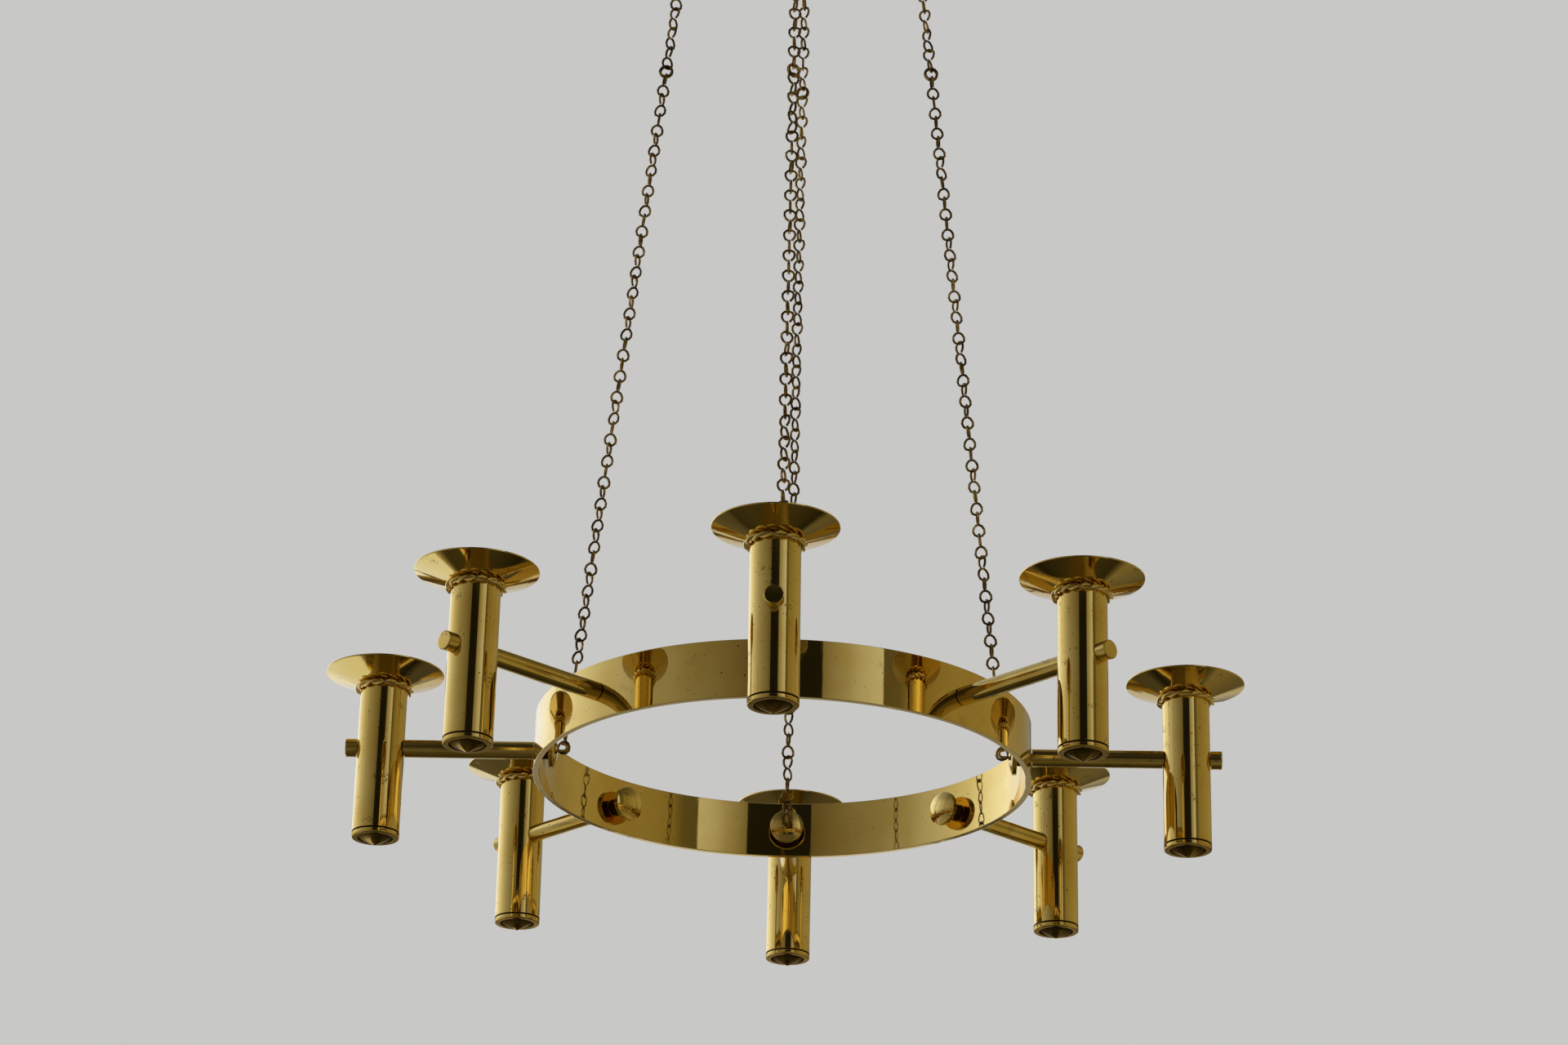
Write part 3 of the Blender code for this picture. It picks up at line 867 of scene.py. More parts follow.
@dataclass
class BandFrame:
    """The ring band with its eight arms, end knobs, domed nuts and the four chain hooks."""

    places: Places
    finishes: Finishes
    edge_round: float = 0.0002
    bore_reach: float = 0.002
    arm_radius: float = 0.00475
    stud_radius: float = 0.0025
    stud_into_nut: float = 0.0042
    stud_into_knob: float = 0.0035
    knob_radius: float = 0.0049
    knob_length: float = 0.0060
    knob_chamfer: float = 0.0004
    knob_crown: float = 0.00006
    nut_stem_radius: float = 0.0045
    nut_stem_length: float = 0.0045
    nut_radius: float = 0.00925
    nut_edge: float = 0.0024
    nut_dome: float = 0.0021
    nut_grime_and_shade: float = 0.9
    hook_socket: float = 0.0020
    hook_wire_radius: float = 0.0008
    hook_reach: float = 0.0027
    hook_curl_radius: float = 0.0020
    hook_curl_angle: float = math.radians(205)

    @property
    def nut_tip(self) -> float:
        """Distance of a domed nut's tip from the band's axis."""
        length = self.nut_stem_length + self.nut_edge + self.nut_dome
        return self.places.band_inner - GAP - length

    @property
    def chain_circle(self) -> float:
        """Distance of the chains' lowest links from the band's axis."""
        return self.nut_tip - self.hook_reach

    def build(self) -> None:
        """Build every piece of the frame."""
        self._band()
        arm, knob, hook = self._arm_mesh(), self._knob_mesh(), self._hook_mesh()
        inwards = Matrix.Translation((self.places.band_inner - GAP, 0, 0))
        inwards = inwards @ Matrix.Rotation(math.radians(-90), 4, "Y")
        slots = self.finishes.by_slot
        sides = {side.value: side.name.lower() for side in Side}
        for index in range(self.places.count):
            number = index + 1
            spoke = self.places.spoke(index)
            nut = self._nut_mesh(index in sides)
            inner = spoke @ inwards @ Matrix.Rotation(index * NUT_SPIN, 4, "Z")
            fit_piece(f"arm_rod_{number}", arm, spoke, slots["arm_brass"], "frame", f"arm_{number}")
            fit_piece(f"outer_knob_{number}", knob, spoke, slots["knob_brass"], "frame",
                      f"end_knob_{number}")
            fit_piece(f"inner_nut_{number}", nut, inner, slots["nut_brass"], "frame",
                      f"dome_nut_{number}")
            if index in sides:
                fit_piece(f"wire_hook_{sides[index]}", hook, spoke, slots["hook_brass"], "frame",
                          f"chain_hook_{sides[index]}")

    def _band(self) -> None:
        """Flat bar bent round, with softened edges and a bore at each arm."""
        places = self.places
        half = places.band_height / 2
        inner, outer = places.band_inner, places.band_outer
        zone = self.arm_radius - GAP
        bar = sleeve("band", (inner, outer), (-half, half), self.edge_round, zone, 384)
        bores = []
        for index in range(places.count):
            out = places.spoke(index).to_3x3() @ Vector((1, 0, 0))
            bores.append((out * (inner - self.bore_reach), out * (outer + self.bore_reach),
                          self.stud_radius + GAP))
        fit_piece("band", drilled(bar, bores), Matrix.Translation((0, 0, places.arm_z)),
                  self.finishes.by_slot["band_brass"], "frame", "ring_band")

    def _lathed_along_x(self, name: str, rings: Sequence[tuple[float, Callable[[float], float]]],
                        steps: int = 56) -> Mesh:
        """Skin a rod along X whose ends may be hollowed to fit a tube.

        Args:
            name: Name of the mesh.
            rings: Radius, and x as a function of the offset along Y, of each ring.
            steps: Segments in a turn.

        Returns:
            The rod's mesh, with its ends closed.
        """
        turns = [math.tau * step / steps for step in range(steps)]
        loops = [[Vector((x_at(radius * math.cos(t)), radius * math.cos(t), radius * math.sin(t)))
                  for t in turns] for radius, x_at in rings]
        first, last = ([Vector((rings[end][1](0.0), 0, 0))] * steps for end in (0, -1))
        return skin(name, [first, *loops, last], math.tau * self.arm_radius, False)

    def _saddle(self, side_sign: int, lift: float = 0.0) -> Callable[[float], float]:
        """x of a face hollowed to fit the tube's band side, -1, or outer side, 1."""
        reach = self.places.tube_radius + GAP + lift
        return lambda side: self.places.holder_circle + side_sign * math.sqrt(reach**2 - side**2)

    def _arm_mesh(self) -> Mesh:
        """Rod with a stud at each end, its outer shoulder coped to the tube."""
        places = self.places
        shoulder = places.band_outer + GAP
        tip = places.holder_circle + places.tube_radius + self.stud_into_knob
        root = places.band_inner - self.stud_into_nut
        stud, rod, chamfer = self.stud_radius, self.arm_radius, self.edge_round
        return self._lathed_along_x("arm_rod", [
            (stud - chamfer, lambda side: root), (stud, lambda side: root + chamfer),
            (stud, lambda side: shoulder), (rod - chamfer, lambda side: shoulder),
            (rod, lambda side: shoulder + chamfer), (rod, lambda side: shoulder + 3 * chamfer),
            (rod, self._saddle(-1, 3 * chamfer)), (rod, self._saddle(-1, chamfer * 0.6)),
            (rod - chamfer * 0.6, self._saddle(-1)), (stud, self._saddle(-1)),
            (stud, lambda side: tip - chamfer), (stud - chamfer, lambda side: tip),
        ])

    def _knob_mesh(self) -> Mesh:
        """Plain round knob with a fine chamfer, its inner face coped to the tube."""
        tube_face = self.places.holder_circle + self.places.tube_radius
        face = tube_face + self.knob_length
        bore_end = tube_face + self.stud_into_knob + GAP
        bore, knob, chamfer = self.stud_radius + GAP, self.knob_radius, self.knob_chamfer
        fine = chamfer / 4
        return self._lathed_along_x("outer_knob", [
            (bore, lambda side: bore_end), (bore, self._saddle(1)),
            (knob - fine, self._saddle(1)), (knob, self._saddle(1, fine)),
            (knob, self._saddle(1, chamfer)), (knob, lambda side: face - 2.2 * chamfer),
            (knob, lambda side: face - chamfer),
            (knob - 0.3 * chamfer, lambda side: face - 0.3 * chamfer),
            (knob - chamfer, lambda side: face), (knob - 2.2 * chamfer, lambda side: face),
            (knob * 0.4, lambda side: face + self.knob_crown),
        ])

    def _nut_mesh(self, has_hook: bool) -> Mesh:
        """Domed nut on its stem, with Z pointing from the band to its centre.

        Args:
            has_hook: Whether a wire hook sits in the dome.

        Returns:
            The nut's mesh in its own frame.
        """
        bore, stem = self.stud_radius + GAP, self.nut_stem_length
        front = stem + self.nut_edge
        length = front + self.nut_dome
        corners = [
            (0, self.stud_into_nut), (bore, self.stud_into_nut), (bore, 0),
            (self.nut_stem_radius, 0, 0.0002), (self.nut_stem_radius, stem, 0.0004),
            (self.nut_radius, stem, 0.0003), (self.nut_radius, front, 0.0004),
        ]
        steps = 12
        for step in range(1, steps):
            share = 1 - step / steps
            corners.append((self.nut_radius * share, front + self.nut_dome * (1 - share**2)))
        if has_hook:
            socket = self.hook_wire_radius + 0.0001
            corners += [(socket, length), (socket, length - self.hook_socket)]
            length -= self.hook_socket
        corners.append((0, length))
        nut = turned("inner_nut", rounded(corners), 72)
        # The stem between the band and the nut's disc is darkened: painted shade, with some dirt.
        return soiled_and_shaded(nut, lambda p: self.nut_grime_and_shade if p.z < stem - self.edge_round else 0.0)

    def _hook_mesh(self) -> Mesh:
        """Wire hook, curled up and back at its inner end."""
        bottom = math.radians(-90)
        centre = (self.chain_circle, self.hook_curl_radius)
        curl = arc(centre, self.hook_curl_radius, bottom, bottom - self.hook_curl_angle, 22)
        start = self.nut_tip + self.hook_socket - GAP
        path = [Vector((start, 0, 0)), Vector((self.nut_tip, 0, 0))]
        path += [Vector((x, 0, z)) for x, z in curl]
        return swept("wire_hook", path, self.hook_wire_radius, 14)


@dataclass
class Holder:
    """One candle holder: tube with its twisted collar, base cap and loose drip pan."""

    places: Places
    finishes: Finishes
    collar_tree: GeometryTree
    index: int
    above_arm: float = 0.0342
    below_arm: float = 0.047
    edge_round: float = 0.0002
    bore_radius: float = 0.0028
    bore_fence: float = 0.0016
    tube_grime_and_shade: float = 0.9
    collar_radius: float = 0.0140
    collar_below_rim: float = 0.0015
    strand_radius: float = 0.00085
    strand_offset: float = 0.00082
    collar_twists: int = 6
    cap_groove: float = 0.0005
    cap_spigot: float = 0.0035
    cap_flange: float = 0.0025
    cap_rim_width: float = 0.0030
    cap_recess: float = 0.0006
    cap_cone: float = 0.0044
    groove_reach: float = 0.00012
    recess_width: float = 0.0008
    rim_reach: float = 0.0001
    groove_grime_and_shade: float = 1.0
    recess_grime_and_shade: float = 0.75
    rim_grime: float = 0.2
    cone_grime: float = 0.05
    pan_radius: float = 0.03125
    pan_rise: float = 0.0068
    pan_sheet: float = 0.0008
    pan_grime_and_shade: float = 0.30
    cup_wall: float = 0.0005
    cup_floor: float = 0.0008
    cup_bottom: float = 0.00555

    def build(self) -> None:
        """Build and fit the holder's pieces. X points outwards, and the lean turns about it."""
        number = self.index + 1
        slots = self.finishes.by_slot
        out = Matrix.Translation((self.places.holder_circle, 0, 0))
        lean = Matrix.Rotation(HOLDER_LEANS.get(self.index, 0.0), 4, "X")
        upright = self.places.spoke(self.index) @ out @ lean
        spun = upright @ Matrix.Rotation(HOLDER_SPIN * self.index, 4, "Z")
        body = f"holder_{number}"
        fit_piece(f"tube_{number}", self._tube_mesh(), upright, slots["tube_brass"], body,
                  f"candle_tube_{number}")
        fit_piece(f"twisted_collar_{number}", self._collar_mesh(), spun, self.finishes.collar, body)
        fit_piece(f"cap_{number}", self._cap_mesh(), spun, slots["cap_brass"], body,
                  f"base_cap_{number}")
        fit_piece(f"pan_{number}", self._pan_mesh(), spun, slots["pan_brass"], f"pan_{number}",
                  f"drip_pan_{number}")

    def _tube_mesh(self) -> Mesh:
        """Open tube with softened rims, crossed by the stud's two holes."""
        outer = self.places.tube_radius
        inner = outer - self.places.tube_wall
        reach, zone = Vector((2 * outer, 0, 0)), self.bore_radius + self.bore_fence
        heights = (-self.below_arm, self.above_arm)
        tube = sleeve("tube", (inner, outer), heights, self.edge_round, zone, 96)
        tube = drilled(tube, [(-reach, reach, self.bore_radius)])
        foot, middle = self.edge_round - self.below_arm, (inner + outer) / 2
        # The foot, against the cap, and the inner wall are darkened: painted shade, with some dirt.
        return soiled_and_shaded(tube, lambda p: self.tube_grime_and_shade
                      if p.z < foot or math.hypot(p.x, p.y) < middle else 0.0)

    def _collar_mesh(self) -> Mesh:
        """Two twisted wires brazed round the tube just under its rim."""
        return self.collar_tree.make("twisted_collar", {
            "Points": 260, "Sides": 9, "Radius": self.collar_radius,
            "Height": self.above_arm - self.collar_below_rim, "Wire Radius": self.strand_radius,
            "Strand Offset": self.strand_offset,
            "Twists": float(self.collar_twists + self.index % 2),
        })

    def _cap_mesh(self) -> Mesh:
        """Turned cap: spigot, flange, flat rim, recess and a cone with its tip down."""
        outer = self.places.tube_radius
        spigot = outer - self.places.tube_wall - GAP
        top = -self.below_arm + self.cap_spigot
        flange_top = -self.below_arm - self.cap_groove
        rim = flange_top - self.cap_flange
        cone = outer - self.cap_rim_width
        recess = rim + self.cap_recess
        corners = [
            (0, top), (spigot, top, 0.0004), (spigot, flange_top),
            (outer, flange_top, 0.0003), (outer, rim, 0.0007), (cone, rim, 0.00025),
            (cone - 0.0002, recess), (cone - 0.0007, recess),
            (0.0009, recess - self.cap_cone * 0.93, 0.0006), (0, recess - self.cap_cone),
        ]
        groove, ring, brim = flange_top - self.groove_reach, cone - self.recess_width, rim + self.rim_reach

        def grime(point: Vector) -> float:
            """Dirt and painted shade in the groove and the recess, and brown tarnish on the rim and the
            cone.
            """
            radius = math.hypot(point.x, point.y)
            if point.z > groove:
                return self.groove_grime_and_shade
            if ring < radius < cone and point.z > brim:
                return self.recess_grime_and_shade
            if radius < ring:
                return self.cone_grime
            return self.rim_grime if point.z < brim else 0.0

        return soiled_and_shaded(turned("cap", rounded(corners, 4), 96), grime)

    def _pan_mesh(self) -> Mesh:
        """Spun dish with a rounded edge, and the socket cup that drops into the tube."""
        tube = self.places.tube_radius
        cup_outer = tube - self.places.tube_wall - GAP
        cup_inner = cup_outer - self.cup_wall
        neck = self.above_arm + GAP
        rim = neck + self.pan_rise
        slope = math.atan2(self.pan_rise, self.pan_radius - tube)
        upright = self.pan_sheet / math.cos(slope)
        floor = self.cup_bottom + self.cup_floor
        throat = neck + upright
        corners = [
            (0, floor), (cup_inner, floor, 0.0010), (cup_inner, throat, 0.0009),
            (tube, throat, 0.0020), (self.pan_radius, rim + upright, 0.00025),
            (self.pan_radius, rim, 0.00025), (tube, neck, 0.0020),
            (cup_outer, neck, 0.0003), (cup_outer, self.cup_bottom, 0.0010),
            (0, self.cup_bottom),
        ]
        # Where the pan meets the tube it is darkened: painted shade, with some dirt.
        near = tube + 0.0004
        return soiled_and_shaded(turned("pan", rounded(corners, 5), 120),
                      lambda p: self.pan_grime_and_shade if math.hypot(p.x, p.y) < near else 0.0)


@dataclass
class CeilingFitting:
    """Ceiling plate, hook and the ring that gathers the chains."""

    finishes: Finishes
    plate_radius: float = 0.030
    plate_thickness: float = 0.0035
    boss_radius: float = 0.0075
    boss_height: float = 0.008
    screw_radius: float = 0.00225
    screw_circle: float = 0.021
    bore_reach: float = 0.002
    hook_drop: float = 0.045
    hook_wire_radius: float = 0.0020
    hook_bowl_radius: float = 0.010
    hook_thread: float = 0.008
    neck_angle: float = math.radians(60)
    tip_angle: float = math.radians(20)
    ring_radius: float = 0.023
    ring_wire_radius: float = 0.0020

    @property
    def ring_centre_z(self) -> float:
        """Height of the suspension ring's centre."""
        top = -self.hook_drop + self.hook_wire_radius + GAP + self.ring_wire_radius
        return top - self.ring_radius

    @property
    def socket_end(self) -> float:
        """Upper end of the hook's hole in the plate."""
        return -self.plate_thickness - self.boss_height + self.hook_thread

    def build(self) -> None:
        """Build the fitting's three pieces."""
        finish, here = self.finishes.by_slot["fitting_brass"], Matrix()
        fit_piece("mount_plate", self._plate_mesh(), here, finish, "ceiling", "ceiling_plate")
        fit_piece("swan_hook", self._hook_mesh(), here, finish, "ceiling", "ceiling_hook")
        fit_piece("top_ring", self._ring_mesh(), here, finish, "suspension", "suspension_ring")

    def _plate_mesh(self) -> Mesh:
        """Round plate with a stepped edge, a boss and two screw holes."""
        bottom = -self.plate_thickness
        boss_bottom = bottom - self.boss_height
        socket = self.hook_wire_radius + GAP
        plate = turned("mount_plate", rounded([
            (0, 0), (self.plate_radius, 0, 0.0002), (self.plate_radius, bottom, 0.0012),
            (self.boss_radius, bottom, 0.0015), (self.boss_radius, boss_bottom, 0.0010),
            (socket, boss_bottom, 0.0003), (socket, self.socket_end), (0, self.socket_end),
        ], 5), 96)
        return drilled(plate, [
            (Vector((x, 0, self.bore_reach)), Vector((x, 0, bottom - self.bore_reach)),
             self.screw_radius) for x in (-self.screw_circle, self.screw_circle)])

    def _hook_mesh(self) -> Mesh:
        """Round wire with a straight shank, a neck and an open bowl."""
        bowl = self.hook_bowl_radius
        bowl_z = -self.hook_drop + bowl
        start = math.pi - self.neck_angle
        neck_x = bowl * math.cos(start)
        neck_z = bowl_z + bowl * math.sin(start)
        radius = -neck_x / (1 - math.cos(self.neck_angle))
        centre = (-radius, neck_z + radius * math.sin(self.neck_angle))
        neck = arc(centre, radius, 0, -self.neck_angle, 16)
        curve = arc((0, bowl_z), bowl, start, math.tau + self.tip_angle, 48)
        path = [Vector((0, 0, self.socket_end - GAP))]
        path += [Vector((0, y, z)) for y, z in neck + curve[1:]]
        return swept("swan_hook", path, self.hook_wire_radius, 20)

    def _ring_mesh(self) -> Mesh:
        """Closed ring of round wire, hanging in the hook's bowl."""
        circle = arc((0, self.ring_centre_z), self.ring_radius, 0, math.tau, 96)[:-1]
        path = [Vector((x, 0, z)) for x, z in circle]
        return swept("top_ring", path, self.ring_wire_radius, 20, True)


@dataclass(frozen=True)
class Hang:
    """How one chain hangs.

    It meets the suspension ring at an angle from its lowest point, its joining ring stands at a
    height above the hook, and its links start at a turn and twist a little from one to the next.
    """

    spread: float
    joiner_height: float
    turn: float
    twist: float


@dataclass
class ChainSet:
    """Four chains of figure-eight wire links, each with one doubled joining ring."""

    places: Places
    finishes: Finishes
    frame_part: BandFrame
    fitting: CeilingFitting
    wire_radius: float = 0.0007
    loop_length: float = 0.00705
    loop_half_width: float = 0.0031
    joiner_radius: float = 0.0034
    joiner_wire_radius: float = 0.0008
    joiner_coil: float = 2.1
    wobble: float = 0.45
    upper_turn: float = 0.9
    upper_seed: int = 11
    hangs: dict[Side, Hang] = field(default_factory=lambda: {
        Side.FRONT: Hang(math.radians(-5), 0.369, 0.75, 0.05),
        Side.RIGHT: Hang(math.radians(33.5), 0.410, 0.10, 0.004),
        Side.BACK: Hang(math.radians(5), 0.436, 0.5, 0.02),
        Side.LEFT: Hang(math.radians(-33.5), 0.409, -0.15, 0.003),
    })

    def build(self) -> None:
        """Build the four chains."""
        link = add_object("link", self._link_mesh())
        tree = GeometryTree("chain_run", chain_run)
        for side in Side:
            self._chain(side, tree, link)
        bpy.data.objects.remove(link, do_unlink=True)

    def _link_mesh(self) -> Mesh:
        """One link: two loops a quarter turn apart, both running into the waist."""
        steps = 10
        path = []
        for loop in (-1, 1):
            for step in range(steps):
                turn = math.tau * (step + 0.30) / (steps + 0.10)
                rise = self.loop_length * (1 - math.cos(turn)) / 2
                narrow = 0.83 + 0.32 * rise / self.loop_length
                across = self.loop_half_width * math.sin(turn) * narrow
                path.append(Vector((across, 0, -rise) if loop < 0 else (0, across, rise)))
        return swept("link", path, self.wire_radius, 5)

    def _chain(self, side: Side, tree: GeometryTree, link: bpy.types.Object) -> None:
        """Fit one chain between its hook and the suspension ring.

        Args:
            side: Which chain.
            tree: The tree that repeats the links.
            link: Object that holds the link's mesh.
        """
        hang, ring = self.hangs[side], self.fitting.ring_radius
        low = self.places.spoke(side.value) @ Vector((self.frame_part.chain_circle, 0, 0))
        low.z -= self.frame_part.hook_wire_radius + self.wire_radius
        high = Vector((ring * math.sin(hang.spread), 0,
                       self.fitting.ring_centre_z - ring * math.cos(hang.spread)))
        direction = (high - low).normalized()
        high = high + direction * (self.fitting.ring_wire_radius + self.wire_radius)
        bite = 2 * self.wire_radius
        joiner_bite = self.wire_radius + self.joiner_wire_radius
        room = (high - low).length - (2 * self.joiner_radius - 2 * joiner_bite + bite) - bite
        count = round(room / (2 * self.loop_length - bite))
        pitch = room / count
        below = round(hang.joiner_height / pitch)
        first = low + direction * self.loop_length
        top_of_lower = first + direction * (pitch * (below - 1) + self.loop_length)
        middle = top_of_lower + direction * (self.joiner_radius - joiner_bite)
        start = middle + direction * (self.joiner_radius - joiner_bite + self.loop_length)
        shared = {"Step": tuple(direction * pitch), "Wobble": self.wobble, "Link": link}
        lower = tree.make("chain_run", shared | {
            "Start": tuple(first), "Count": below, "Turn": hang.turn, "Twist": hang.twist,
            "Seed": side.value,
        })
        upper = tree.make("chain_run", shared | {
            "Start": tuple(start), "Count": count - below, "Turn": hang.turn + self.upper_turn,
            "Twist": -hang.twist, "Seed": side.value + self.upper_seed,
        })
        turn = hang.turn + below * hang.twist + math.pi / 2
        bm = bmesh.new()
        for mesh in (lower, self._joiner_mesh(middle, direction, turn), upper):
            bm.from_mesh(mesh)
        whole = from_bmesh(bm, bpy.data.meshes.new("chain"))
        name = side.name.lower()
        fit_piece(f"link_chain_{name}", whole, Matrix(), self.finishes.by_slot["chain_bronze"],
                  "frame", f"chain_{name}")

    def _joiner_mesh(self, middle: Vector, direction: Vector, turn: float) -> Mesh:
        """Doubled wire ring that joins a chain's two lengths.

        Args:
            middle: Centre of the ring.
            direction: Direction of the chain.
            turn: Turn of the ring about the chain.

        Returns:
            The ring's mesh, in place.
        """
        steps = 44
        path = []
        for step in range(steps + 1):
            angle = 2 * math.tau * step / steps
            depth = self.joiner_coil * self.joiner_wire_radius * (step / steps - 0.5)
            path.append(Vector((self.joiner_radius * math.cos(angle), depth,
                                self.joiner_radius * math.sin(angle))))
        ring = swept("joiner", path, self.joiner_wire_radius, 8)
        upright = direction.to_track_quat("Z", "Y").to_matrix().to_4x4()
        ring.transform(Matrix.Translation(middle) @ upright @ Matrix.Rotation(turn, 4, "Z"))
        return ring


@dataclass
class Studio:
    """Floor, backdrop, overhead lamp, a tent that mirror rays see, and the camera.

    The tent is a skin over stops round the lamp. A stop is its turn from behind the camera in
    degrees, its distance, the levels of inner ground, outer ground, foot, wall and top, and its
    warmth. A row is its share of the distance, its height as a share of the distance, the level
    that it shows, and how much of that level. tent_ground holds how much of their levels the two
    kinds of ground show, and the least warmth that they have. A card is its level, its warmth
    and its corners on the ground, across and away from the camera; one with two corners stands.
    """

    places: Places
    focal_pixels: float = 4889.0
    image_width: float = 1920.0
    sensor_width: float = 36.0
    clip_end: float = 200.0
    distance: float = 2.109
    rise: float = math.radians(19.178)
    yaw: float = math.radians(-0.0625)
    pitch: float = math.radians(22.5006)
    roll: float = math.radians(1.35)
    turn: float = math.radians(1.479)
    ambient: float = 0.94
    backdrop: float = 0.58
    backdrop_tint: Colour = (1.0, 0.995, 0.985)
    floor_z: float = -2.65
    floor_half: float = 60.0
    floor_tints: tuple[Colour, Colour] = ((0.58, 0.575, 0.565), (0.61, 0.605, 0.595))
    lamp_size: float = 2.4
    lamp_power: float = 60.0
    lamp_place: tuple[float, float, float] = (-0.6, -0.4, 1.6)
    tent_rows: tuple[tuple[float, float, int, float], ...] = (
        (0.26, -0.31, 0, 1.0), (0.33, -0.31, 1, 1.0), (1.0, -0.31, 1, 1.0), (1.0, -0.26, 1, 1.0),
        (1.0, -0.20, 2, 1.0), (1.0, 0.115, 2, 1.0), (1.0, 0.24, 3, 1.0), (1.0, 0.37, 3, 1.0),
        (1.0, 0.42, 4, 1.0), (1.0, 0.55, 4, 1.0), (1.0, 0.81, 4, 0.55), (1.0, 1.38, 4, 0.35),
    )
    tent_closed_rows: int = 3
    tent_ground: tuple[Point, ...] = ((0.6, 0.8), (0.75, 0.5))
    tent_stops: tuple[tuple[float, ...], ...] = (
        (-168, 2.4, 0.02, 0.10, 0.70, 0.72, 0.74, -0.05),
        (-156, 2.4, 0.04, 0.14, 1.00, 1.00, 1.05, -0.30),
        (-149, 2.4, 0.04, 0.10, 1.02, 1.04, 1.07, -0.36),
        (-146, 2.4, 0.05, 0.14, 1.03, 1.06, 1.08, -0.38),
        (-140, 2.4, 0.07, 0.78, 1.05, 1.10, 1.10, -0.40),
        (-112, 2.4, 0.08, 0.50, 0.50, 0.84, 0.84, -0.20),
        (-90, 2.4, 0.11, 0.39, 0.28, 0.56, 0.56, 0.0),
        (-66, 2.4, 0.12, 0.38, 0.22, 0.34, 0.32, 0.15),
        (-45, 2.4, 0.13, 0.30, 0.20, 0.25, 0.22, 0.38),
        (-26, 2.4, 0.14, 0.16, 0.14, 0.18, 0.15, 0.50),
        (-15, 2.4, 0.14, 0.14, 0.10, 0.12, 0.12, 0.60),
        (-14.6, 2.4, 0.14, 0.14, 0.05, 0.012, 0.05, 0.50),
        (0, 2.4, 0.14, 0.13, 0.03, 0.010, 0.04, 0.50),
        (16.5, 2.4, 0.14, 0.12, 0.03, 0.014, 0.06, 0.50),
        (17, 2.4, 0.14, 0.12, 0.10, 0.20, 0.20, 0.50),
        (28, 1.8, 0.18, 0.17, 0.20, 0.36, 0.36, 0.25),
        (43, 1.1, 0.24, 0.26, 0.20, 0.55, 0.55, -0.10),
        (43.5, 1.1, 0.24, 0.28, 0.20, 0.10, 0.10, 0.70),
        (51, 1.2, 0.22, 0.30, 0.18, 0.12, 0.12, 0.80),
        (58, 1.4, 0.18, 0.32, 0.18, 0.24, 0.22, 0.85),
        (80, 2.0, 0.14, 0.40, 0.18, 0.28, 0.27, 0.85),
        (100, 2.4, 0.10, 0.44, 0.20, 0.31, 0.31, 0.80),
        (120, 2.4, 0.07, 0.38, 0.28, 0.33, 0.33, 0.75),
        (143, 2.4, 0.03, 0.20, 0.26, 0.28, 0.28, 0.65),
        (158, 2.4, 0.03, 0.12, 0.50, 0.26, 0.26, 0.20),
        (166, 2.4, 0.02, 0.08, 0.16, 0.08, 0.08, 0.40),
    )
    tent_floor: Point = (0.06, 0.8)
    tent_top: Point = (0.12, 0.5)
    tent_apex: float = 3.6
    card_foot: float = -0.735
    card_head: float = -0.50
    cards: tuple[tuple[float, float, tuple[Point, ...]], ...] = (
        (0.26, 0.0, ((-0.5, 1.55), (0.5, 1.55), (0.5, 2.2), (-0.5, 2.2))),
        (0.80, -0.38, ((-0.60, 0.50), (-0.43, 0.50), (-0.98, 2.13), (-1.28, 1.96))),
        (0.90, -0.38, ((-0.98, 2.13), (-1.28, 1.96))),
    )
    warm: Colour = (1.0, 0.78, 0.22)

    def build(self) -> None:
        """Build the whole studio."""
        self._camera()
        self._world()
        self._floor()
        self._lamp()
        self._tent()
        bpy.context.scene.view_settings.view_transform = "Standard"

    def _camera(self) -> None:
        """Camera where the photograph was taken from, below the band and looking up."""
        data = bpy.data.cameras.new("camera")
        data.sensor_width = self.sensor_width
        data.lens = self.focal_pixels / self.image_width * data.sensor_width
        data.clip_end = self.clip_end
        stand = Vector((0, -math.cos(self.rise), -math.sin(self.rise))) * self.distance
        forward = Vector((math.sin(self.yaw) * math.cos(self.pitch),
                          math.cos(self.yaw) * math.cos(self.pitch), math.sin(self.pitch)))
        right = forward.cross(Vector((0, 0, 1))).normalized()
        up = right.cross(forward)
        tilted_right = right * math.cos(self.roll) + up * math.sin(self.roll)
        tilted_up = up * math.cos(self.roll) - right * math.sin(self.roll)
        axes = Matrix((tilted_right, tilted_up, -forward)).transposed().to_4x4()
        camera = add_object("camera", data)
        camera.matrix_world = self._at_lamp() @ Matrix.Translation(stand) @ axes
        bpy.context.scene.camera = camera

    def _at_lamp(self) -> Matrix:
        """Frame in the band's middle, with Y away from the camera."""
        return Matrix.Translation((0, 0, self.places.arm_z)) @ Matrix.Rotation(self.turn, 4, "Z")

    def _world(self) -> None:
        """Even light from all round, and a plain pale backdrop for camera and mirror rays."""
        world = bpy.data.worlds.new("studio")
        world.use_nodes = True
        world.node_tree.nodes.clear()
        bench = NodeBench(world.node_tree)
        rays = bench.add("ShaderNodeLightPath").outputs
        seen = bench.highest(rays["Is Camera Ray"], rays["Is Glossy Ray"], rays["Is Transmission Ray"])
        lit = bench.out("ShaderNodeBackground", {"Color": (1, 1, 1, 1), "Strength": self.ambient})
        shown = bench.out("ShaderNodeBackground",
                          {"Color": _rgba(self.backdrop_tint), "Strength": self.backdrop})
        bench.add("ShaderNodeOutputWorld",
                  {0: bench.out("ShaderNodeMixShader", {0: seen, 1: lit, 2: shown})})
        bpy.context.scene.world = world

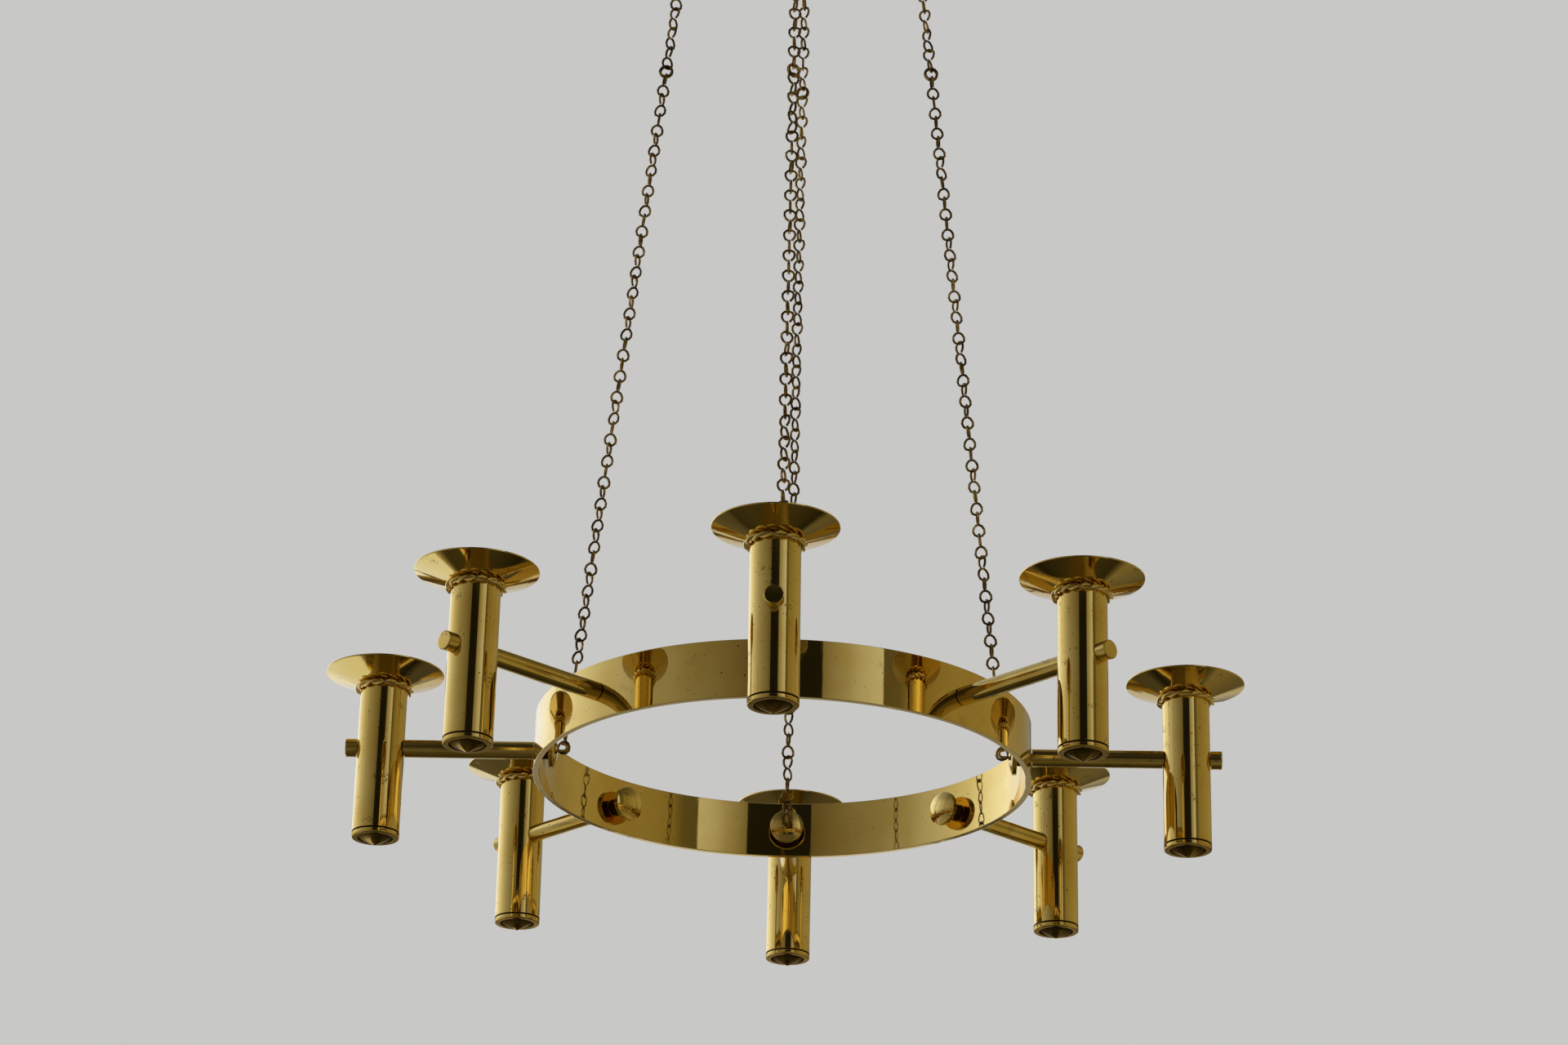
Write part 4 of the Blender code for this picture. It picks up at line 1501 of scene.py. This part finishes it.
    def _floor(self) -> None:
        """Wide plain floor."""
        mesh, half = bpy.data.meshes.new("floor"), self.floor_half
        corners = [(-half, -half), (half, -half), (half, half), (-half, half)]
        mesh.from_pydata([(x, y, self.floor_z) for x, y in corners], [], [(0, 1, 2, 3)])
        material, bench, shader, place = new_material("floor_paint")
        colour = bench.mix(bench.noise(place, 0.4, 3.0), *self.floor_tints)
        bench.feed(shader, {"Roughness": 0.9, "Base Color": colour})
        mesh.materials.append(material)
        add_object("floor", mesh)

    def _lamp(self) -> None:
        """Wide soft lamp overhead."""
        data = bpy.data.lights.new("overhead", "AREA")
        data.shape = "RECTANGLE"
        data.size = data.size_y = self.lamp_size
        data.energy = self.lamp_power
        lamp = add_object("overhead", data)
        lamp.location = self.lamp_place
        lamp.visible_camera = lamp.visible_glossy = False

    def _tent(self) -> None:
        """Tent of pale cloths and dark cards round the lamp, seen by mirror rays only.

        Its walls leave out a strip behind the lamp, where mirror rays meet the backdrop itself.
        Two pale cards lie on its ground, and one stands behind them.
        """
        verts, glow, faces = [], [], []
        for turn, reach, *levels, warmth in self.tent_stops:
            angle = math.radians(-90 + turn) + self.turn
            away = Vector((math.cos(angle), math.sin(angle), 0)) * reach
            kinds = [*self.tent_ground, *[(1.0, warmth)] * (len(levels) - len(self.tent_ground))]
            for out, up, kind, share in self.tent_rows:
                verts.append(away * out + Vector((0, 0, self.places.arm_z + up * reach)))
                dimmed, least = kinds[kind]
                glow.append(self._tint(levels[kind] * share * dimmed, max(warmth, least)))
        count, stops = len(self.tent_rows), len(self.tent_stops)
        foot, apex = len(verts), len(verts) + 1
        verts += [Vector((0, 0, verts[0].z)), Vector((0, 0, self.places.arm_z + self.tent_apex))]
        glow += [self._tint(*self.tent_floor), self._tint(*self.tent_top)]
        for stop in range(stops):
            here, after = stop * count, (stop + 1) % stops * count
            faces.append((foot, after, here))
            open_strip = stop + 1 == stops
            for row in range(self.tent_closed_rows - 1 if open_strip else count - 1):
                faces.append((here + row, after + row, after + row + 1, here + row + 1))
            if not open_strip:
                faces.append((apex, here + count - 1, after + count - 1))
        for level, warmth, corners in self.cards:
            spots = [(x, y, self.card_foot) for x, y in corners]
            if len(spots) == 2:
                spots += [(x, y, self.card_head) for x, y in reversed(corners)]
            faces.append(tuple(range(len(verts), len(verts) + len(spots))))
            verts += [self._at_lamp() @ Vector(spot) for spot in spots]
            glow += [self._tint(level, warmth)] * len(spots)
        mesh = bpy.data.meshes.new("tent")
        mesh.from_pydata(verts, [], faces)
        colours = mesh.attributes.new(GLOW_NAME, "FLOAT_COLOR", "POINT")
        colours.data.foreach_set("color", [channel for colour in glow for channel in colour])
        mesh.materials.append(self._cloth())
        tent = add_object("tent", mesh)
        tent.visible_camera = tent.visible_diffuse = tent.visible_shadow = False

    def _cloth(self) -> bpy.types.Material:
        """Material that glows in the colours of the tent's corners.

        Returns:
            The material.
        """
        material = bpy.data.materials.new("tent_cloth")
        material.use_nodes = True
        material.node_tree.nodes.clear()
        bench = NodeBench(material.node_tree)
        shade = bench.add("ShaderNodeAttribute", attribute_name=GLOW_NAME).outputs["Color"]
        bench.add("ShaderNodeOutputMaterial", {0: bench.out("ShaderNodeEmission", {"Color": shade})})
        return material

    def _tint(self, level: float, warmth: float) -> tuple[float, float, float, float]:
        """Colour of a cloth from its level and its warmth."""
        red, green, blue = (level * (1 - warmth * (1 - channel)) for channel in self.warm)
        return red, green, blue, 1.0


def main() -> None:
    """Build the studio, then every sub-assembly in order."""
    logging.basicConfig(level=logging.INFO, format="%(message)s")
    places = Places.measured()
    finishes = Finishes()
    Studio(places).build()
    band_frame = BandFrame(places, finishes)
    band_frame.build()
    collar_tree = GeometryTree("twisted_collar", twisted_collar)
    for index in range(places.count):
        Holder(places, finishes, collar_tree, index).build()
    fitting = CeilingFitting(finishes)
    ChainSet(places, finishes, band_frame, fitting).build()
    fitting.build()


if __name__ == "__main__":
    main()
